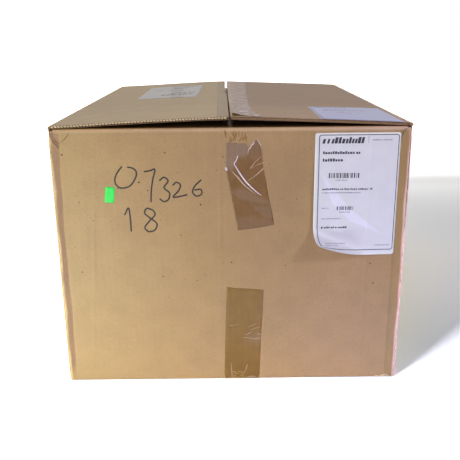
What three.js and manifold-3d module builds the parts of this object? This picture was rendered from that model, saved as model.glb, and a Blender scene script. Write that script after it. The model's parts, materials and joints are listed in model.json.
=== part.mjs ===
// A single-wall corrugated shipping carton, seen with one short wall in front. Its tape has been slit:
// the two outer top flaps stand a little open on their scores, and the inner flaps lie under them.
// Millimetres. X runs across the two outer flaps, Y along the seam, away from the front, and Z up.
// The origin is on the floor, under the middle of the box.
import * as THREE from 'three';
import { mergeVertices } from 'three/addons/utils/BufferGeometryUtils.js';
import Module from 'manifold-3d';

const wasm = await Module();
wasm.setup();

// The folded board
const boxWidth = 434; // outside, across the outer flaps
const boxDepth = 572; // outside, along the seam
const boxHeight = 335; // floor to the folded top edge of the short walls
const boardThickness = 4; // single wall, C flute
const foldBend = 0.6; // inside radius of a score
const cornerBend = 1; // inside radius of the four upright corners
const layerGap = 0.3; // between flaps that lie on each other, and across the scores that turn
const seamGap = 3.4; // between the free edges of the outer top flaps
const seamOffset = -1.5; // the top seam lies a little to the left of the middle
const bottomSeamGap = 2; // between the free edges of the outer bottom flaps
const slotGap = 1.5; // from the side of a flap to the wall beside it
const flapSetback = 1; // an outer flap ends this far inside the faces of the short walls
const cornerNotch = 1.6; // height of the slot left open at each corner of the box
const footRadius = 2.5; // lower outside edge of the short walls, where the score is crushed
const footStrip = 18; // width of the strip beside each long wall that the carton stands on

// How far the flaps have moved from lying flat
const flapRaise = 2.2; // degrees that both outer flaps stand open
const leftFlapBow = 1.6; // the left flap is warped: it arches this much, nearest its seam edge
const innerFlapDroop = 1.5; // degrees that the inner top flaps hang down

// The glued joint of the blank, inside the back left corner
const glueTabWidth = 35;
const glueTabMargin = 12; // from its ends to the flaps above and below

// Packing tape
const tapeWidth = 48;
const tapeThickness = 0.15;
const topTapeOffset = 5; // middle of the top strip, from the middle of the box
const topTapeMargin = 2; // from its ends to the ends of the flaps
const tabTapeLength = 105; // what is left of the top strip on the front wall
const tabTapeDrop = 20; // from the top edge down to it
const tabTapeOffset = 23; // its middle, from the middle of the box
const tabTapeLean = 8; // degrees
const backTapeLength = 95;
const bottomTapeOffset = 13; // middle of the bottom strip, from the middle of the box
const bottomTapeFrontLeg = 128; // height that it climbs the front wall
const bottomTapeBackLeg = 115;

// Paper labels
const paperThickness = 0.15;
const frontLabel = { width: 101.6, height: 152.4, fromRight: 14, fromTop: 9, radius: 3 };
const frontLabelPeel = { width: 30, lift: 4 }; // the left edge has come loose
const frontLabelCurl = { reach: 36, radius: 33, lean: 60 }; // and the lower left corner curls, degrees
const leftFlapLabel = { width: 98, length: 216, fromHinge: 71, fromFront: 267 };
const rightFlapLabel = { width: 99, length: 142, fromHinge: 10.5, fromFront: 0 };
const sticker = { width: 11.4, height: 20, fromLeft: 69, fromTop: 82.4, lean: 6.6 }; // lean in degrees

// Sizes that follow from those
const foldRadius = foldBend + boardThickness;
const halfWidth = boxWidth / 2;
const halfDepth = boxDepth / 2;
const innerFlapLength = halfWidth - seamGap / 2;
const shortWallHalfWidth = halfWidth - boardThickness - slotGap; // and that of its flaps
const longWallHalfLength = halfDepth - boardThickness - slotGap; // and that of its bottom flap
const innerFlapFloor = tapeThickness + boardThickness + layerGap; // under the inner bottom flaps
const hingeHeight = boxHeight + layerGap + boardThickness; // the top face of a closed outer flap
const flapHalfLength = halfDepth - flapSetback;
const arcStep = THREE.MathUtils.degToRad(15);
const diagonal = Math.SQRT1_2;
const halfTurnTangent = Math.tan(Math.PI / 8);

const boardMaterial = new THREE.MeshStandardMaterial({ color: '#b5946c', roughness: 0.9, metalness: 0 });
const tapeMaterial = new THREE.MeshStandardMaterial({ color: '#95754f', roughness: 0.35, metalness: 0 });
const paperMaterial = new THREE.MeshStandardMaterial({ color: '#d6d3e2', roughness: 0.6, metalness: 0 });
const stickerMaterial = new THREE.MeshStandardMaterial({ color: '#45e864', roughness: 0.6, metalness: 0 });

// ---- outlines and solids

// The outline of a folded sheet. The corners are those of its outer face, in an order that keeps the
// sheet on the left. A slight turn stays a corner, and any other is a fold with the inside radius `bend`.
function sheetOutline(corners, thickness, bend) {
  const outer = [];
  const inner = [];
  const put = (point, normal) => {
    if (outer.length && outer.at(-1).distanceTo(point) < 1e-6) return;
    outer.push(point);
    inner.push(point.clone().addScaledVector(normal, thickness));
  };
  const points = corners.map(([x, y]) => new THREE.Vector2(x, y));
  const ways = points.slice(1).map((point, i) => point.clone().sub(points[i]).normalize());
  const normals = ways.map((way) => new THREE.Vector2(-way.y, way.x));
  put(points[0], normals[0]);
  for (let i = 1; i < ways.length; i++) {
    const before = normals[i - 1];
    const after = normals[i];
    const turn = Math.atan2(before.cross(after), before.dot(after));
    const mitre = before.clone().add(after).divideScalar(1 + before.dot(after));
    if (Math.abs(turn) < arcStep) {
      put(points[i], mitre);
      continue;
    }
    const radius = turn > 0 ? -(bend + thickness) : bend;
    const centre = points[i].clone().addScaledVector(mitre, -radius);
    const steps = Math.ceil(Math.abs(turn) / arcStep);
    for (let j = 0; j <= steps; j++) {
      const normal = before.clone().rotateAround(new THREE.Vector2(), (turn * j) / steps);
      put(centre.clone().addScaledVector(normal, radius), normal);
    }
  }
  put(points.at(-1), normals.at(-1));
  return [...outer, ...inner.reverse()];
}

// The same outline on the other side of the middle when side is 1.
function mirrored(outline, side) {
  return outline.map((point) => new THREE.Vector2(-side * point.x, point.y));
}

function rectangle(width, height) {
  const [x, y] = [width / 2, height / 2];
  return [[-x, -y], [x, -y], [x, y], [-x, y]].map((corner) => new THREE.Vector2(...corner));
}

const ontoYZ = new THREE.Matrix4().makeBasis(
  new THREE.Vector3(0, 1, 0), new THREE.Vector3(0, 0, 1), new THREE.Vector3(1, 0, 0));
const ontoXZ = new THREE.Matrix4().makeBasis(
  new THREE.Vector3(1, 0, 0), new THREE.Vector3(0, 0, 1), new THREE.Vector3(0, -1, 0));

// An outline in the XY, YZ or XZ plane, drawn out along the third axis.
function prism(outline, plane, from, to) {
  const shape = new THREE.Shape(outline);
  const geometry = new THREE.ExtrudeGeometry(shape, { depth: to - from, bevelEnabled: false });
  if (plane === 'XZ') return geometry.translate(0, 0, -to).applyMatrix4(ontoXZ);
  geometry.translate(0, 0, from);
  return plane === 'YZ' ? geometry.applyMatrix4(ontoYZ) : geometry;
}

function solidOf(geometry) {
  const bare = geometry.clone();
  bare.deleteAttribute('normal');
  bare.deleteAttribute('uv');
  const merged = mergeVertices(bare, 1e-4);
  return new wasm.Manifold(new wasm.Mesh({
    numProp: 3,
    vertProperties: merged.attributes.position.array,
    triVerts: new Uint32Array(merged.index.array),
  }));
}

function geometryOf(solid) {
  const mesh = solid.getMesh();
  const geometry = new THREE.BufferGeometry();
  geometry.setAttribute('position', new THREE.BufferAttribute(mesh.vertProperties, 3));
  geometry.setIndex(new THREE.BufferAttribute(mesh.triVerts, 1));
  const flat = geometry.toNonIndexed();
  flat.computeVertexNormals();
  return flat;
}

function joined(geometries) {
  return geometryOf(geometries.map(solidOf).reduce((whole, piece) => whole.add(piece)));
}

function common(a, b) {
  return geometryOf(solidOf(a).intersect(solidOf(b)));
}

function addPiece(parent, name, geometry, material) {
  const mesh = new THREE.Mesh(geometry, material);
  mesh.name = name;
  parent.add(mesh);
  return mesh;
}

// ---- the carton body, folded from one blank

// A long wall with its outer bottom flap. Its top ends in half of the fold, mitred along the score.
function longWall(side) {
  const middle = [-halfWidth + foldRadius, boxHeight + boardThickness - foldRadius]; // of the top fold
  const corners = [
    [middle[0] - foldRadius * diagonal, middle[1] + foldRadius * diagonal],
    [-halfWidth, middle[1] + foldRadius * halfTurnTangent],
    [-halfWidth, 0],
    [-halfWidth + footStrip, 0],
    [-halfWidth + footStrip + boardThickness, tapeThickness],
    [-bottomSeamGap / 2, tapeThickness],
  ];
  const outline = mirrored(sheetOutline(corners, boardThickness, foldBend), side);
  return prism(outline, 'XZ', -longWallHalfLength, longWallHalfLength);
}

// A short wall with its two inner flaps. The top one hangs a little.
function shortWall(side) {
  const droop = THREE.MathUtils.degToRad(innerFlapDroop);
  const corners = [
    [-halfDepth + innerFlapLength * Math.cos(droop), boxHeight - innerFlapLength * Math.sin(droop)],
    [-halfDepth, boxHeight],
    [-halfDepth, innerFlapFloor],
    [-halfDepth + innerFlapLength, innerFlapFloor],
  ];
  const outline = mirrored(sheetOutline(corners, boardThickness, foldBend), side);
  return prism(outline, 'YZ', -shortWallHalfWidth, shortWallHalfWidth);
}

// The crushed lower edge of a short wall, which comes down past the flaps under it.
function shortWallFoot(side) {
  const foot = tapeThickness + layerGap;
  const top = innerFlapFloor + 2 * foldRadius;
  const shape = new THREE.Shape();
  shape.moveTo(-halfDepth, top);
  shape.lineTo(-halfDepth, foot + footRadius);
  shape.absarc(-halfDepth + footRadius, foot + footRadius, footRadius, Math.PI, 1.5 * Math.PI, false);
  shape.lineTo(-halfDepth + boardThickness, foot);
  shape.lineTo(-halfDepth + boardThickness, top);
  return prism(mirrored(shape.getPoints(6), side), 'YZ', -shortWallHalfWidth, shortWallHalfWidth);
}

// One upright corner. It laps into both of its walls and stops short of the slots above and below it.
function uprightCorner(sideX, sideY) {
  const lap = boardThickness + slotGap + boardThickness / 2;
  const corners = [
    [-halfWidth, -halfDepth + lap],
    [-halfWidth, -halfDepth],
    [-halfWidth + lap, -halfDepth],
  ];
  const outline = sheetOutline(corners, boardThickness, cornerBend);
  const placed = outline.map((point) => new THREE.Vector2(-sideX * point.x, -sideY * point.y));
  return prism(placed, 'XY', cornerNotch, boxHeight - cornerNotch);
}

// The tab of the blank, glued to the inside of the left wall at the back.
function glueTab() {
  const inside = halfDepth - boardThickness;
  const low = innerFlapFloor + boardThickness + glueTabMargin;
  const high = boxHeight - boardThickness - glueTabMargin;
  const slant = glueTabMargin;
  const outline = [
    [inside + boardThickness / 2, low],
    [inside + boardThickness / 2, high],
    [inside - glueTabWidth, high - slant],
    [inside - glueTabWidth, low + slant],
  ].map((corner) => new THREE.Vector2(...corner));
  const wall = -halfWidth + boardThickness;
  return prism(outline, 'YZ', wall - boardThickness / 2, wall + boardThickness);
}

function cartonBody() {
  const pieces = [glueTab()];
  for (const side of [-1, 1]) {
    pieces.push(longWall(side), shortWall(side), shortWallFoot(side));
    pieces.push(uprightCorner(side, -1), uprightCorner(side, 1));
  }
  return joined(pieces);
}

// ---- the outer top flaps, each drawn in the frame of its own hinge: x is 0 at the outer face of the
// long wall and z is 0 at the top face of the closed flap

function flapReach(side) {
  return halfWidth - seamGap / 2 - side * seamOffset;
}

// Height of a flap's top face at a distance from its hinge.
function flapArch(distance, reach, bow) {
  const share = distance / reach;
  return bow * 6.75 * share * share * (1 - share);
}

// Points along the top face, from the seam towards the hinge.
function flapLine(from, to, reach, bow, lift) {
  const steps = 8;
  return Array.from({ length: steps + 1 }, (_, i) => {
    const distance = to + ((from - to) * i) / steps;
    return [distance, flapArch(distance, reach, bow) + lift];
  });
}

function outerFlap(side, bow) {
  const reach = flapReach(side);
  const middle = foldRadius + layerGap;
  const tangent = middle - foldRadius * halfTurnTangent;
  const corners = [
    ...flapLine(middle + foldRadius, reach, reach, bow, 0),
    [tangent, 0],
    [middle - foldRadius * diagonal, foldRadius * diagonal - foldRadius],
  ];
  const outline = mirrored(sheetOutline(corners, boardThickness, foldBend), side);
  return prism(outline, 'XZ', -flapHalfLength, flapHalfLength);
}

// A thin strip stuck on top of a flap, which follows its arch.
function flapSkin(side, bow, from, to, thickness, front, back) {
  const line = flapLine(from, to, flapReach(side), bow, layerGap);
  const above = line.map(([x, z]) => [x, z + thickness]).reverse();
  const outline = [...line, ...above].map((corner) => new THREE.Vector2(...corner));
  return prism(mirrored(outline, side), 'XZ', front, back);
}

function flapLabel(side, bow, label) {
  const front = -flapHalfLength + label.fromFront;
  const edge = label.fromHinge;
  return flapSkin(side, bow, edge, edge + label.width, paperThickness, front, front + label.length);
}

function slitTape(side, bow) {
  const reach = flapReach(side);
  const start = halfWidth - tapeWidth / 2 - side * topTapeOffset;
  const end = flapHalfLength - topTapeMargin;
  return flapSkin(side, bow, start, reach, tapeThickness, -end, end);
}

function flapGroup(side) {
  const hinge = new THREE.Group();
  hinge.position.set(side * halfWidth, 0, hingeHeight);
  hinge.rotation.y = side * THREE.MathUtils.degToRad(flapRaise);
  return hinge;
}

// ---- tape and labels on the walls

function bottomTape() {
  const front = -halfDepth - tapeThickness;
  const corners = [
    [front, bottomTapeFrontLeg],
    [front, 0],
    [-front, 0],
    [-front, bottomTapeBackLeg],
  ];
  const outline = sheetOutline(corners, tapeThickness, footRadius);
  return prism(outline, 'YZ', bottomTapeOffset - tapeWidth / 2, bottomTapeOffset + tapeWidth / 2);
}

// A flat rectangle on the front wall, or on the back wall when side is 1.
function wallPatch(width, height, thickness, side, x, z, lean) {
  const turn = THREE.MathUtils.degToRad(lean);
  const outline = rectangle(width, height).map((point) =>
    point.rotateAround(new THREE.Vector2(), turn).add(new THREE.Vector2(x, z)));
  const face = side * halfDepth;
  return prism(outline, 'XZ', Math.min(face, face + side * thickness), Math.max(face, face + side * thickness));
}

function frontTapeTab() {
  const middle = boxHeight - tabTapeDrop - tabTapeLength / 2;
  return wallPatch(tapeWidth, tabTapeLength, tapeThickness, -1, tabTapeOffset, middle, tabTapeLean);
}

function backTapeTab() {
  const middle = boxHeight - foldRadius - backTapeLength / 2;
  return wallPatch(tapeWidth, backTapeLength, tapeThickness, 1, topTapeOffset, middle, 0);
}

function greenSticker() {
  const { width, height, fromLeft, fromTop, lean } = sticker;
  return wallPatch(width, height, paperThickness, -1, -halfWidth + fromLeft, boxHeight - fromTop, -lean);
}

// The front label lies flat on the wall, apart from its left edge, which has lifted, and its lower left
// corner, which rolls up on a cylinder across the corner.
function peeledLabel() {
  const { width, height, fromRight, fromTop, radius } = frontLabel;
  const { reach, radius: roll, lean } = frontLabelCurl;
  const left = halfWidth - fromRight - width;
  const bottom = boxHeight - fromTop - height;
  const towards = [-Math.cos(THREE.MathUtils.degToRad(lean)), -Math.sin(THREE.MathUtils.degToRad(lean))];
  const sheet = new THREE.BoxGeometry(width, paperThickness, height, 20, 1, 30);
  const places = sheet.attributes.position;
  for (let i = 0; i < places.count; i++) {
    const across = places.getX(i) + width / 2;
    const up = places.getZ(i) + height / 2;
    const front = paperThickness / 2 - places.getY(i);
    const loose = Math.max(0, 1 - across / frontLabelPeel.width) ** 2 * (1 - up / height);
    const past = Math.max(0, reach + across * towards[0] + up * towards[1]);
    const angle = past / roll;
    const along = roll * Math.sin(angle) - past - front * Math.sin(angle);
    const lift = roll * (1 - Math.cos(angle)) + front * Math.cos(angle) + frontLabelPeel.lift * loose;
    places.setXYZ(i, left + across + along * towards[0], -halfDepth - lift, bottom + up + along * towards[1]);
  }
  const outline = new THREE.Shape();
  const [right, top] = [left + width, bottom + height];
  outline.moveTo(left + radius, bottom);
  outline.absarc(right - radius, bottom + radius, radius, -Math.PI / 2, 0, false);
  outline.absarc(right - radius, top - radius, radius, 0, Math.PI / 2, false);
  outline.absarc(left + radius, top - radius, radius, Math.PI / 2, Math.PI, false);
  outline.absarc(left + radius, bottom + radius, radius, Math.PI, 1.5 * Math.PI, false);
  const trim = prism(outline.getPoints(5), 'XZ', -halfDepth - boxDepth / 4, 0);
  return common(sheet, trim);
}

// ---- the assembly

const carton = new THREE.Group();
addPiece(carton, 'carton_body', cartonBody(), boardMaterial);
addPiece(carton, 'bottom_seam_tape', bottomTape(), tapeMaterial);
addPiece(carton, 'front_tape_tab', frontTapeTab(), tapeMaterial);
addPiece(carton, 'back_tape_tab', backTapeTab(), tapeMaterial);
addPiece(carton, 'front_label', peeledLabel(), paperMaterial);
addPiece(carton, 'green_sticker', greenSticker(), stickerMaterial);

const flaps = [
  { side: -1, name: 'left', bow: leftFlapBow, label: leftFlapLabel },
  { side: 1, name: 'right', bow: 0, label: rightFlapLabel },
];
for (const { side, name, bow, label } of flaps) {
  const hinge = flapGroup(side);
  addPiece(hinge, `${name}_top_flap`, outerFlap(side, bow), boardMaterial);
  addPiece(hinge, `${name}_flap_label`, flapLabel(side, bow, label), paperMaterial);
  addPiece(hinge, `top_tape_${name}_half`, slitTape(side, bow), tapeMaterial);
  carton.add(hinge);
}

export default carton;
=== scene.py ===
import json
import math

import bmesh
import bpy
import numpy as np
from mathutils import Matrix, Vector, noise
from mathutils.geometry import delaunay_2d_cdt


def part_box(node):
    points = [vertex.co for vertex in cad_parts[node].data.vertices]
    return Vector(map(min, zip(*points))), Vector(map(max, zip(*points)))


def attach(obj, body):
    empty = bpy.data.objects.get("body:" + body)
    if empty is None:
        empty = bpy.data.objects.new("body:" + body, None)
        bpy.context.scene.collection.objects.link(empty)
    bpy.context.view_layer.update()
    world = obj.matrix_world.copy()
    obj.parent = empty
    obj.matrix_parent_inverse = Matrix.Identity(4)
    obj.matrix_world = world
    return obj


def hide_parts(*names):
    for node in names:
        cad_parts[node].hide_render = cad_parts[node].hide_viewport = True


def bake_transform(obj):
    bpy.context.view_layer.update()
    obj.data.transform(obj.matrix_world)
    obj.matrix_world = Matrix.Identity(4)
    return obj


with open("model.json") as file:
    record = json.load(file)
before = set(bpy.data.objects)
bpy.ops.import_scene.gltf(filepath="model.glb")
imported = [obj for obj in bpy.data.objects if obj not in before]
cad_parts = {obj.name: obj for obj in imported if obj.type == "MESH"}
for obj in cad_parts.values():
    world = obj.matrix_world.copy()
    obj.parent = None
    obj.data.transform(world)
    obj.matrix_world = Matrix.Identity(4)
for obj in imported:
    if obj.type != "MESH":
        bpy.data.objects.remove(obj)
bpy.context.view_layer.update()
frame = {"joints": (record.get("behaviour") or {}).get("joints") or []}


# ---- helpers. Shapes are worked out in millimetres and turned to metres when their mesh is made.

def toLinear(hexColour):
    values = [int(hexColour[i:i + 2], 16) / 255 for i in (1, 3, 5)]
    return (*[v / 12.92 if v <= 0.04045 else ((v + 0.055) / 1.055) ** 2.4 for v in values], 1)


def boxOf(node):
    return [np.array(corner) * 1000 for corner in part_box(node)]


def smoothStep(x, low, high):
    t = np.clip((x - low) / (high - low), 0, 1)
    return t * t * (3 - 2 * t)


def spread(*values):
    # numbers and arrays brought to one shape
    return np.broadcast_arrays(*(np.asarray(value, float) for value in values))


def unit(vectors):
    return vectors / np.linalg.norm(vectors, axis=-1, keepdims=True)


def spaced(low, high, step):
    return np.linspace(low, high, max(2, int(round((high - low) / step)) + 1))


def roundedLine(corners, radii, segments=6):
    # points along a line whose inner corners are arcs of the given radii
    line = [np.array(corners[0], float)]
    for before, corner, after, radius in zip(corners, corners[1:], corners[2:], radii):
        before, corner, after = (np.array(p, float) for p in (before, corner, after))
        intoIt, outOfIt = unit(corner - before), unit(after - corner)
        turn = math.acos(np.clip(intoIt @ outOfIt, -1, 1))
        reach = radius * math.tan(turn / 2)
        middle = corner + unit(outOfIt - intoIt) * radius / math.cos(turn / 2)
        first = corner - intoIt * reach - middle
        side = math.copysign(1, intoIt[0] * outOfIt[1] - intoIt[1] * outOfIt[0])
        for i in range(segments + 1):
            a = side * turn * i / segments
            line.append(middle + [first[0] * math.cos(a) - first[1] * math.sin(a),
                                  first[0] * math.sin(a) + first[1] * math.cos(a)])
    return [*line, np.array(corners[-1], float)]


def withStops(line, step):
    # the same line with no stretch longer than step
    made = [line[0]]
    for a, b in zip(line, line[1:]):
        count = max(1, math.ceil(np.linalg.norm(b - a) / step))
        made += [a + (b - a) * i / count for i in range(1, count + 1)]
    return np.array(made)


def gridPart(points, flip=False, slot=0):
    rows, columns = points.shape[:2]
    index = np.arange(rows * columns).reshape(rows, columns)
    quads = np.stack([index[:-1, :-1], index[:-1, 1:], index[1:, 1:], index[1:, :-1]], -1).reshape(-1, 4)
    return points.reshape(-1, 3), quads[:, ::-1] if flip else quads, slot


def pieceFrom(name, parts, materials, weld=0.02):
    # one smooth-shaded object from grid parts, whose touching edges are welded
    points, faces, slots, first = [], [], [], 0
    for part, quads, slot in parts:
        points.append(part)
        faces += (quads + first).tolist()
        slots += [slot] * len(quads)
        first += len(part)
    mesh = bpy.data.meshes.new(name)
    mesh.from_pydata((np.concatenate(points) / 1000).tolist(), [], faces)
    mesh.polygons.foreach_set("material_index", slots)
    mesh.polygons.foreach_set("use_smooth", [True] * len(slots))
    built = bmesh.new()
    built.from_mesh(mesh)
    bmesh.ops.remove_doubles(built, verts=built.verts, dist=weld / 1000)
    bmesh.ops.dissolve_degenerate(built, edges=built.edges, dist=1e-6)
    built.to_mesh(mesh)
    built.free()
    piece = bpy.data.objects.new(name, mesh)
    bpy.context.scene.collection.objects.link(piece)
    for material in materials:
        mesh.materials.append(material)
    return piece


def sharpened(piece, degrees=40):
    # smooth shading with a crease at every edge that turns more than this
    piece.data.set_sharp_from_angle(angle=math.radians(degrees))
    return piece


def meshPoints(mesh):
    values = np.empty(len(mesh.vertices) * 3, np.float32)
    mesh.vertices.foreach_get("co", values)
    return values.reshape(-1, 3) * 1000


def coordinates(piece):
    return meshPoints(piece.data)


def tinted(piece, colours):
    # stores a colour on each vertex, which a material multiplies its own colour by
    layer = piece.data.attributes.new("tint", "FLOAT_COLOR", "POINT")
    values = np.ones((len(piece.data.vertices), 4), np.float32)
    values[:, :3] = colours
    layer.data.foreach_set("color", values.ravel())
    return piece


def masked(piece, values, name):
    # stores a number on each vertex, which a material mixes a second look in by
    layer = piece.data.attributes.new(name, "FLOAT", "POINT")
    wanted = np.empty(len(piece.data.vertices), np.float32)
    wanted[:] = values
    layer.data.foreach_set("value", wanted)
    return piece


def noiseAt(points, size, seed=0):
    # smooth noise from -1 to 1 with the given grain size, in millimetres
    offset = Vector((seed * 17.3, seed * 9.1, seed * 5.7))
    return np.array([noise.noise(Vector(point) / size + offset) for point in np.asarray(points, float)])


def distanceToLine(points, line):
    # how far each 2-D point is from a line of stretches, and where on it the nearest place is, from 0 to 1
    line = np.asarray(line, float)
    lengths = np.linalg.norm(np.diff(line, axis=0), axis=1)
    before = np.concatenate([[0], np.cumsum(lengths)])
    best, share = np.full(len(points), 1e9), np.zeros(len(points))
    for i, length in enumerate(lengths):
        way = (line[i + 1] - line[i]) / length
        t = np.clip((points - line[i]) @ way, 0, length)
        away = np.linalg.norm(points - line[i] - t[:, None] * way, axis=1)
        nearer = away < best
        best[nearer] = away[nearer]
        share[nearer] = (before[i] + t[nearer]) / before[-1]
    return best, share


def rideAll(body, slot, *pieces):
    for piece in pieces:
        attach(piece, body)


# ---- materials

def addNode(tree, kind, inputs=None, **settings):
    # adds a node; each input is linked to another node's output or set to a plain value
    made = tree.nodes.new(kind)
    for name, value in settings.items():
        setattr(made, name, value)
    for key, value in (inputs or {}).items():
        if isinstance(value, bpy.types.NodeSocket):
            tree.links.new(value, made.inputs[key])
        else:
            made.inputs[key].default_value = value
    return made


def startMaterial(name, roughness, ior=1.5):
    material = bpy.data.materials.new(name)
    material.use_nodes = True
    tree = material.node_tree
    shader = tree.nodes["Principled BSDF"]
    shader.inputs["Roughness"].default_value = roughness
    shader.inputs["IOR"].default_value = ior
    return material, tree, shader


def mixed(tree, factor, a, b, blend="MIX"):
    node = addNode(tree, "ShaderNodeMix", {0: factor, 6: a, 7: b}, data_type="RGBA", blend_type=blend)
    return node.outputs[2]


def reckoned(tree, operation, *values):
    return addNode(tree, "ShaderNodeMath", dict(enumerate(values)), operation=operation).outputs[0]


def summed(tree, *values):
    total = values[0]
    for value in values[1:]:
        total = reckoned(tree, "ADD", total, value)
    return total


def ranged(tree, value, low, high, toLow=0.0, toHigh=1.0):
    return addNode(tree, "ShaderNodeMapRange", {
        "Value": value, "From Min": low, "From Max": high, "To Min": toLow, "To Max": toHigh}).outputs[0]


def objectPlace(tree):
    return addNode(tree, "ShaderNodeTexCoord").outputs["Object"]


def clouds(tree, place, scale, detail, roughness=0.5):
    return addNode(tree, "ShaderNodeTexNoise", {
        "Vector": place, "Scale": scale, "Detail": detail, "Roughness": roughness}).outputs[0]


def stored(tree, name, output="Fac"):
    return addNode(tree, "ShaderNodeAttribute", attribute_name=name).outputs[output]


def shaded(tree, colour, shade):
    return addNode(tree, "ShaderNodeVectorMath", {0: colour, "Scale": shade}, operation="SCALE").outputs[0]


def coloured(tree, shader, colour):
    tree.links.new(colour, shader.inputs["Base Color"])


def bumped(tree, shader, height, distance=1.0, strength=1.0):
    bump = addNode(tree, "ShaderNodeBump", {"Height": height, "Strength": strength, "Distance": distance})
    tree.links.new(bump.outputs[0], shader.inputs["Normal"])


def flutePhase(tree, place, across):
    # a wave over the flutes, which repeat along the object axis across: 0 for X, 1 for Y
    along = addNode(tree, "ShaderNodeSeparateXYZ", {0: place}).outputs[across]
    return reckoned(tree, "SINE", reckoned(tree, "MULTIPLY", along, 2000 * math.pi / kraft["flutePitch"]))


# Kraft liner: unbleached paper, calendered on one side. Matt, with long brown fibres that lie along the
# machine, cloudy where the pulp is denser, and with a few dark bark specks. The flutes glued under it
# show as shallow ribs.
kraft = {
    "base": "#b08f62",
    "dark": "#9a764b",
    "light": "#c2a273",
    "evenness": 0.62,  # how much of the base shows over the fibres
    "roughness": 0.62,
    "flutePitch": 7.6,  # mm, C flute
    "ribRelief": 0.0000225,  # m, and so are the other reliefs
    # painted shade: the ribs are painted a little lighter and darker, as their slopes would be lit
    "ribShade": 0.006,
    "fibreLength": 2.2,  # mm, drawn about twice as coarse as it is, so that it shows
    "fibreWidth": 0.7,
    "fibreRelief": 0.00003,
    "cloud": 28,  # mm
    "cloudShade": (0.94, 1.06),
    "cloudRelief": 0.0004,
    "fleckScale": 420.0,
    "fleckShade": 0.8,
}


def kraftLiner(name, across):
    material, tree, shader = startMaterial(name, kraft["roughness"])
    place = objectPlace(tree)
    rib = flutePhase(tree, place, across)
    stretch = [1000 / kraft["fibreLength"]] * 3
    stretch[across] = 1000 / kraft["fibreWidth"]
    grain = addNode(tree, "ShaderNodeMapping", {"Vector": place, "Scale": stretch}).outputs[0]
    fibre = clouds(tree, grain, 1.0, 3.0, 0.6)
    cloud = clouds(tree, place, 1000 / kraft["cloud"], 4.0, 0.62)
    fleck = clouds(tree, place, kraft["fleckScale"], 2.0)
    colour = mixed(tree, ranged(tree, fibre, 0.28, 0.72), toLinear(kraft["dark"]), toLinear(kraft["light"]))
    colour = mixed(tree, kraft["evenness"], colour, toLinear(kraft["base"]))
    ribShade = ranged(tree, rib, -1.0, 1.0, 1 - kraft["ribShade"], 1 + kraft["ribShade"])
    shade = reckoned(tree, "MULTIPLY", ranged(tree, cloud, 0.3, 0.7, *kraft["cloudShade"]), ribShade)
    shade = reckoned(tree, "MULTIPLY", shade, ranged(tree, fleck, 0.3, 0.36, kraft["fleckShade"], 1.0))
    colour = mixed(tree, 1.0, colour, stored(tree, "tint", "Color"), "MULTIPLY")
    coloured(tree, shader, shaded(tree, colour, shade))
    bumped(tree, shader, summed(
        tree,
        reckoned(tree, "MULTIPLY", rib, kraft["ribRelief"]),
        reckoned(tree, "MULTIPLY", fibre, kraft["fibreRelief"]),
        reckoned(tree, "MULTIPLY", cloud, kraft["cloudRelief"])))
    return material


# Cut board edge: rough torn pulp, paler than the liner's face and quite matt.
def cutEdge(name="sawnBoardEdge", dark="#8a6a48", pale="#b8966c"):
    material, tree, shader = startMaterial(name, 0.85)
    pulp = clouds(tree, objectPlace(tree), 900.0, 3.0)
    coloured(tree, shader, mixed(tree, ranged(tree, pulp, 0.3, 0.7), toLinear(dark), toLinear(pale)))
    bumped(tree, shader, pulp, distance=0.0003, strength=0.6)
    return material


# Fluting medium: thin recycled paper, darker and greyer than the liners, and unglazed.
def flutingPaper():
    material, tree, shader = startMaterial("flutingMedium", 0.9)
    pulp = clouds(tree, objectPlace(tree), 500.0, 3.0)
    colour = mixed(tree, ranged(tree, pulp, 0.3, 0.7), toLinear("#846848"), toLinear("#a68862"))
    coloured(tree, shader, colour)
    return material


# Packing tape: brown polypropylene film with acrylic glue, laid over kraft. Its face is glossy, the
# board's ribs and clouds show through it, and it turns hazy grey where it has let go of the board.
tapeLook = {
    "film": "#94703a",
    "filmDark": 0.8,  # of the film's own colour, where the glue lies thick
    "haze": "#9b8674",
    # painted glints where the film is creased, on top of its white stress marks
    "crease": "#f2e9e2",
    "roughness": 0.33,
    "hazeRoughness": 0.25,  # more than the clear film's
    "cloudScale": 70.0,
    "bubbleScale": 620.0,
    # painted shade: the ribs under the film are painted a little lighter and darker, as their slopes would be
    # lit
    "ribShade": 0.015,
    "ribRelief": 0.00003,  # m, and so are the other reliefs
    "cloudRelief": 0.0006,
    "hazeRelief": 0.0001,
}


def packingTape(name, across, film=tapeLook["film"], haze=tapeLook["haze"], roughness=tapeLook["roughness"]):
    material, tree, shader = startMaterial(name, roughness)
    place = objectPlace(tree)
    rib = flutePhase(tree, place, across)
    cloud = clouds(tree, place, tapeLook["cloudScale"], 5.0, 0.6)
    bubbles = clouds(tree, place, tapeLook["bubbleScale"], 3.0, 0.6)
    clear = toLinear(film)
    thick = (*(tapeLook["filmDark"] * value for value in clear[:3]), 1)
    colour = mixed(tree, ranged(tree, cloud, 0.3, 0.7), thick, clear)
    loose = reckoned(tree, "MULTIPLY", stored(tree, "haze"), ranged(tree, bubbles, 0.25, 0.6, 0.45, 1.0))
    colour = mixed(tree, loose, colour, toLinear(haze))
    colour = mixed(tree, stored(tree, "crease"), colour, toLinear(tapeLook["crease"]))
    shade = ranged(tree, rib, -1.0, 1.0, 1 - tapeLook["ribShade"], 1 + tapeLook["ribShade"])
    coloured(tree, shader, shaded(tree, colour, shade))
    rough = reckoned(tree, "ADD", reckoned(tree, "MULTIPLY", loose, tapeLook["hazeRoughness"]), roughness)
    tree.links.new(rough, shader.inputs["Roughness"])
    bumped(tree, shader, summed(
        tree,
        reckoned(tree, "MULTIPLY", rib, tapeLook["ribRelief"]),
        reckoned(tree, "MULTIPLY", cloud, tapeLook["cloudRelief"]),
        reckoned(tree, "MULTIPLY", loose, tapeLook["hazeRelief"])))
    return material


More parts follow.
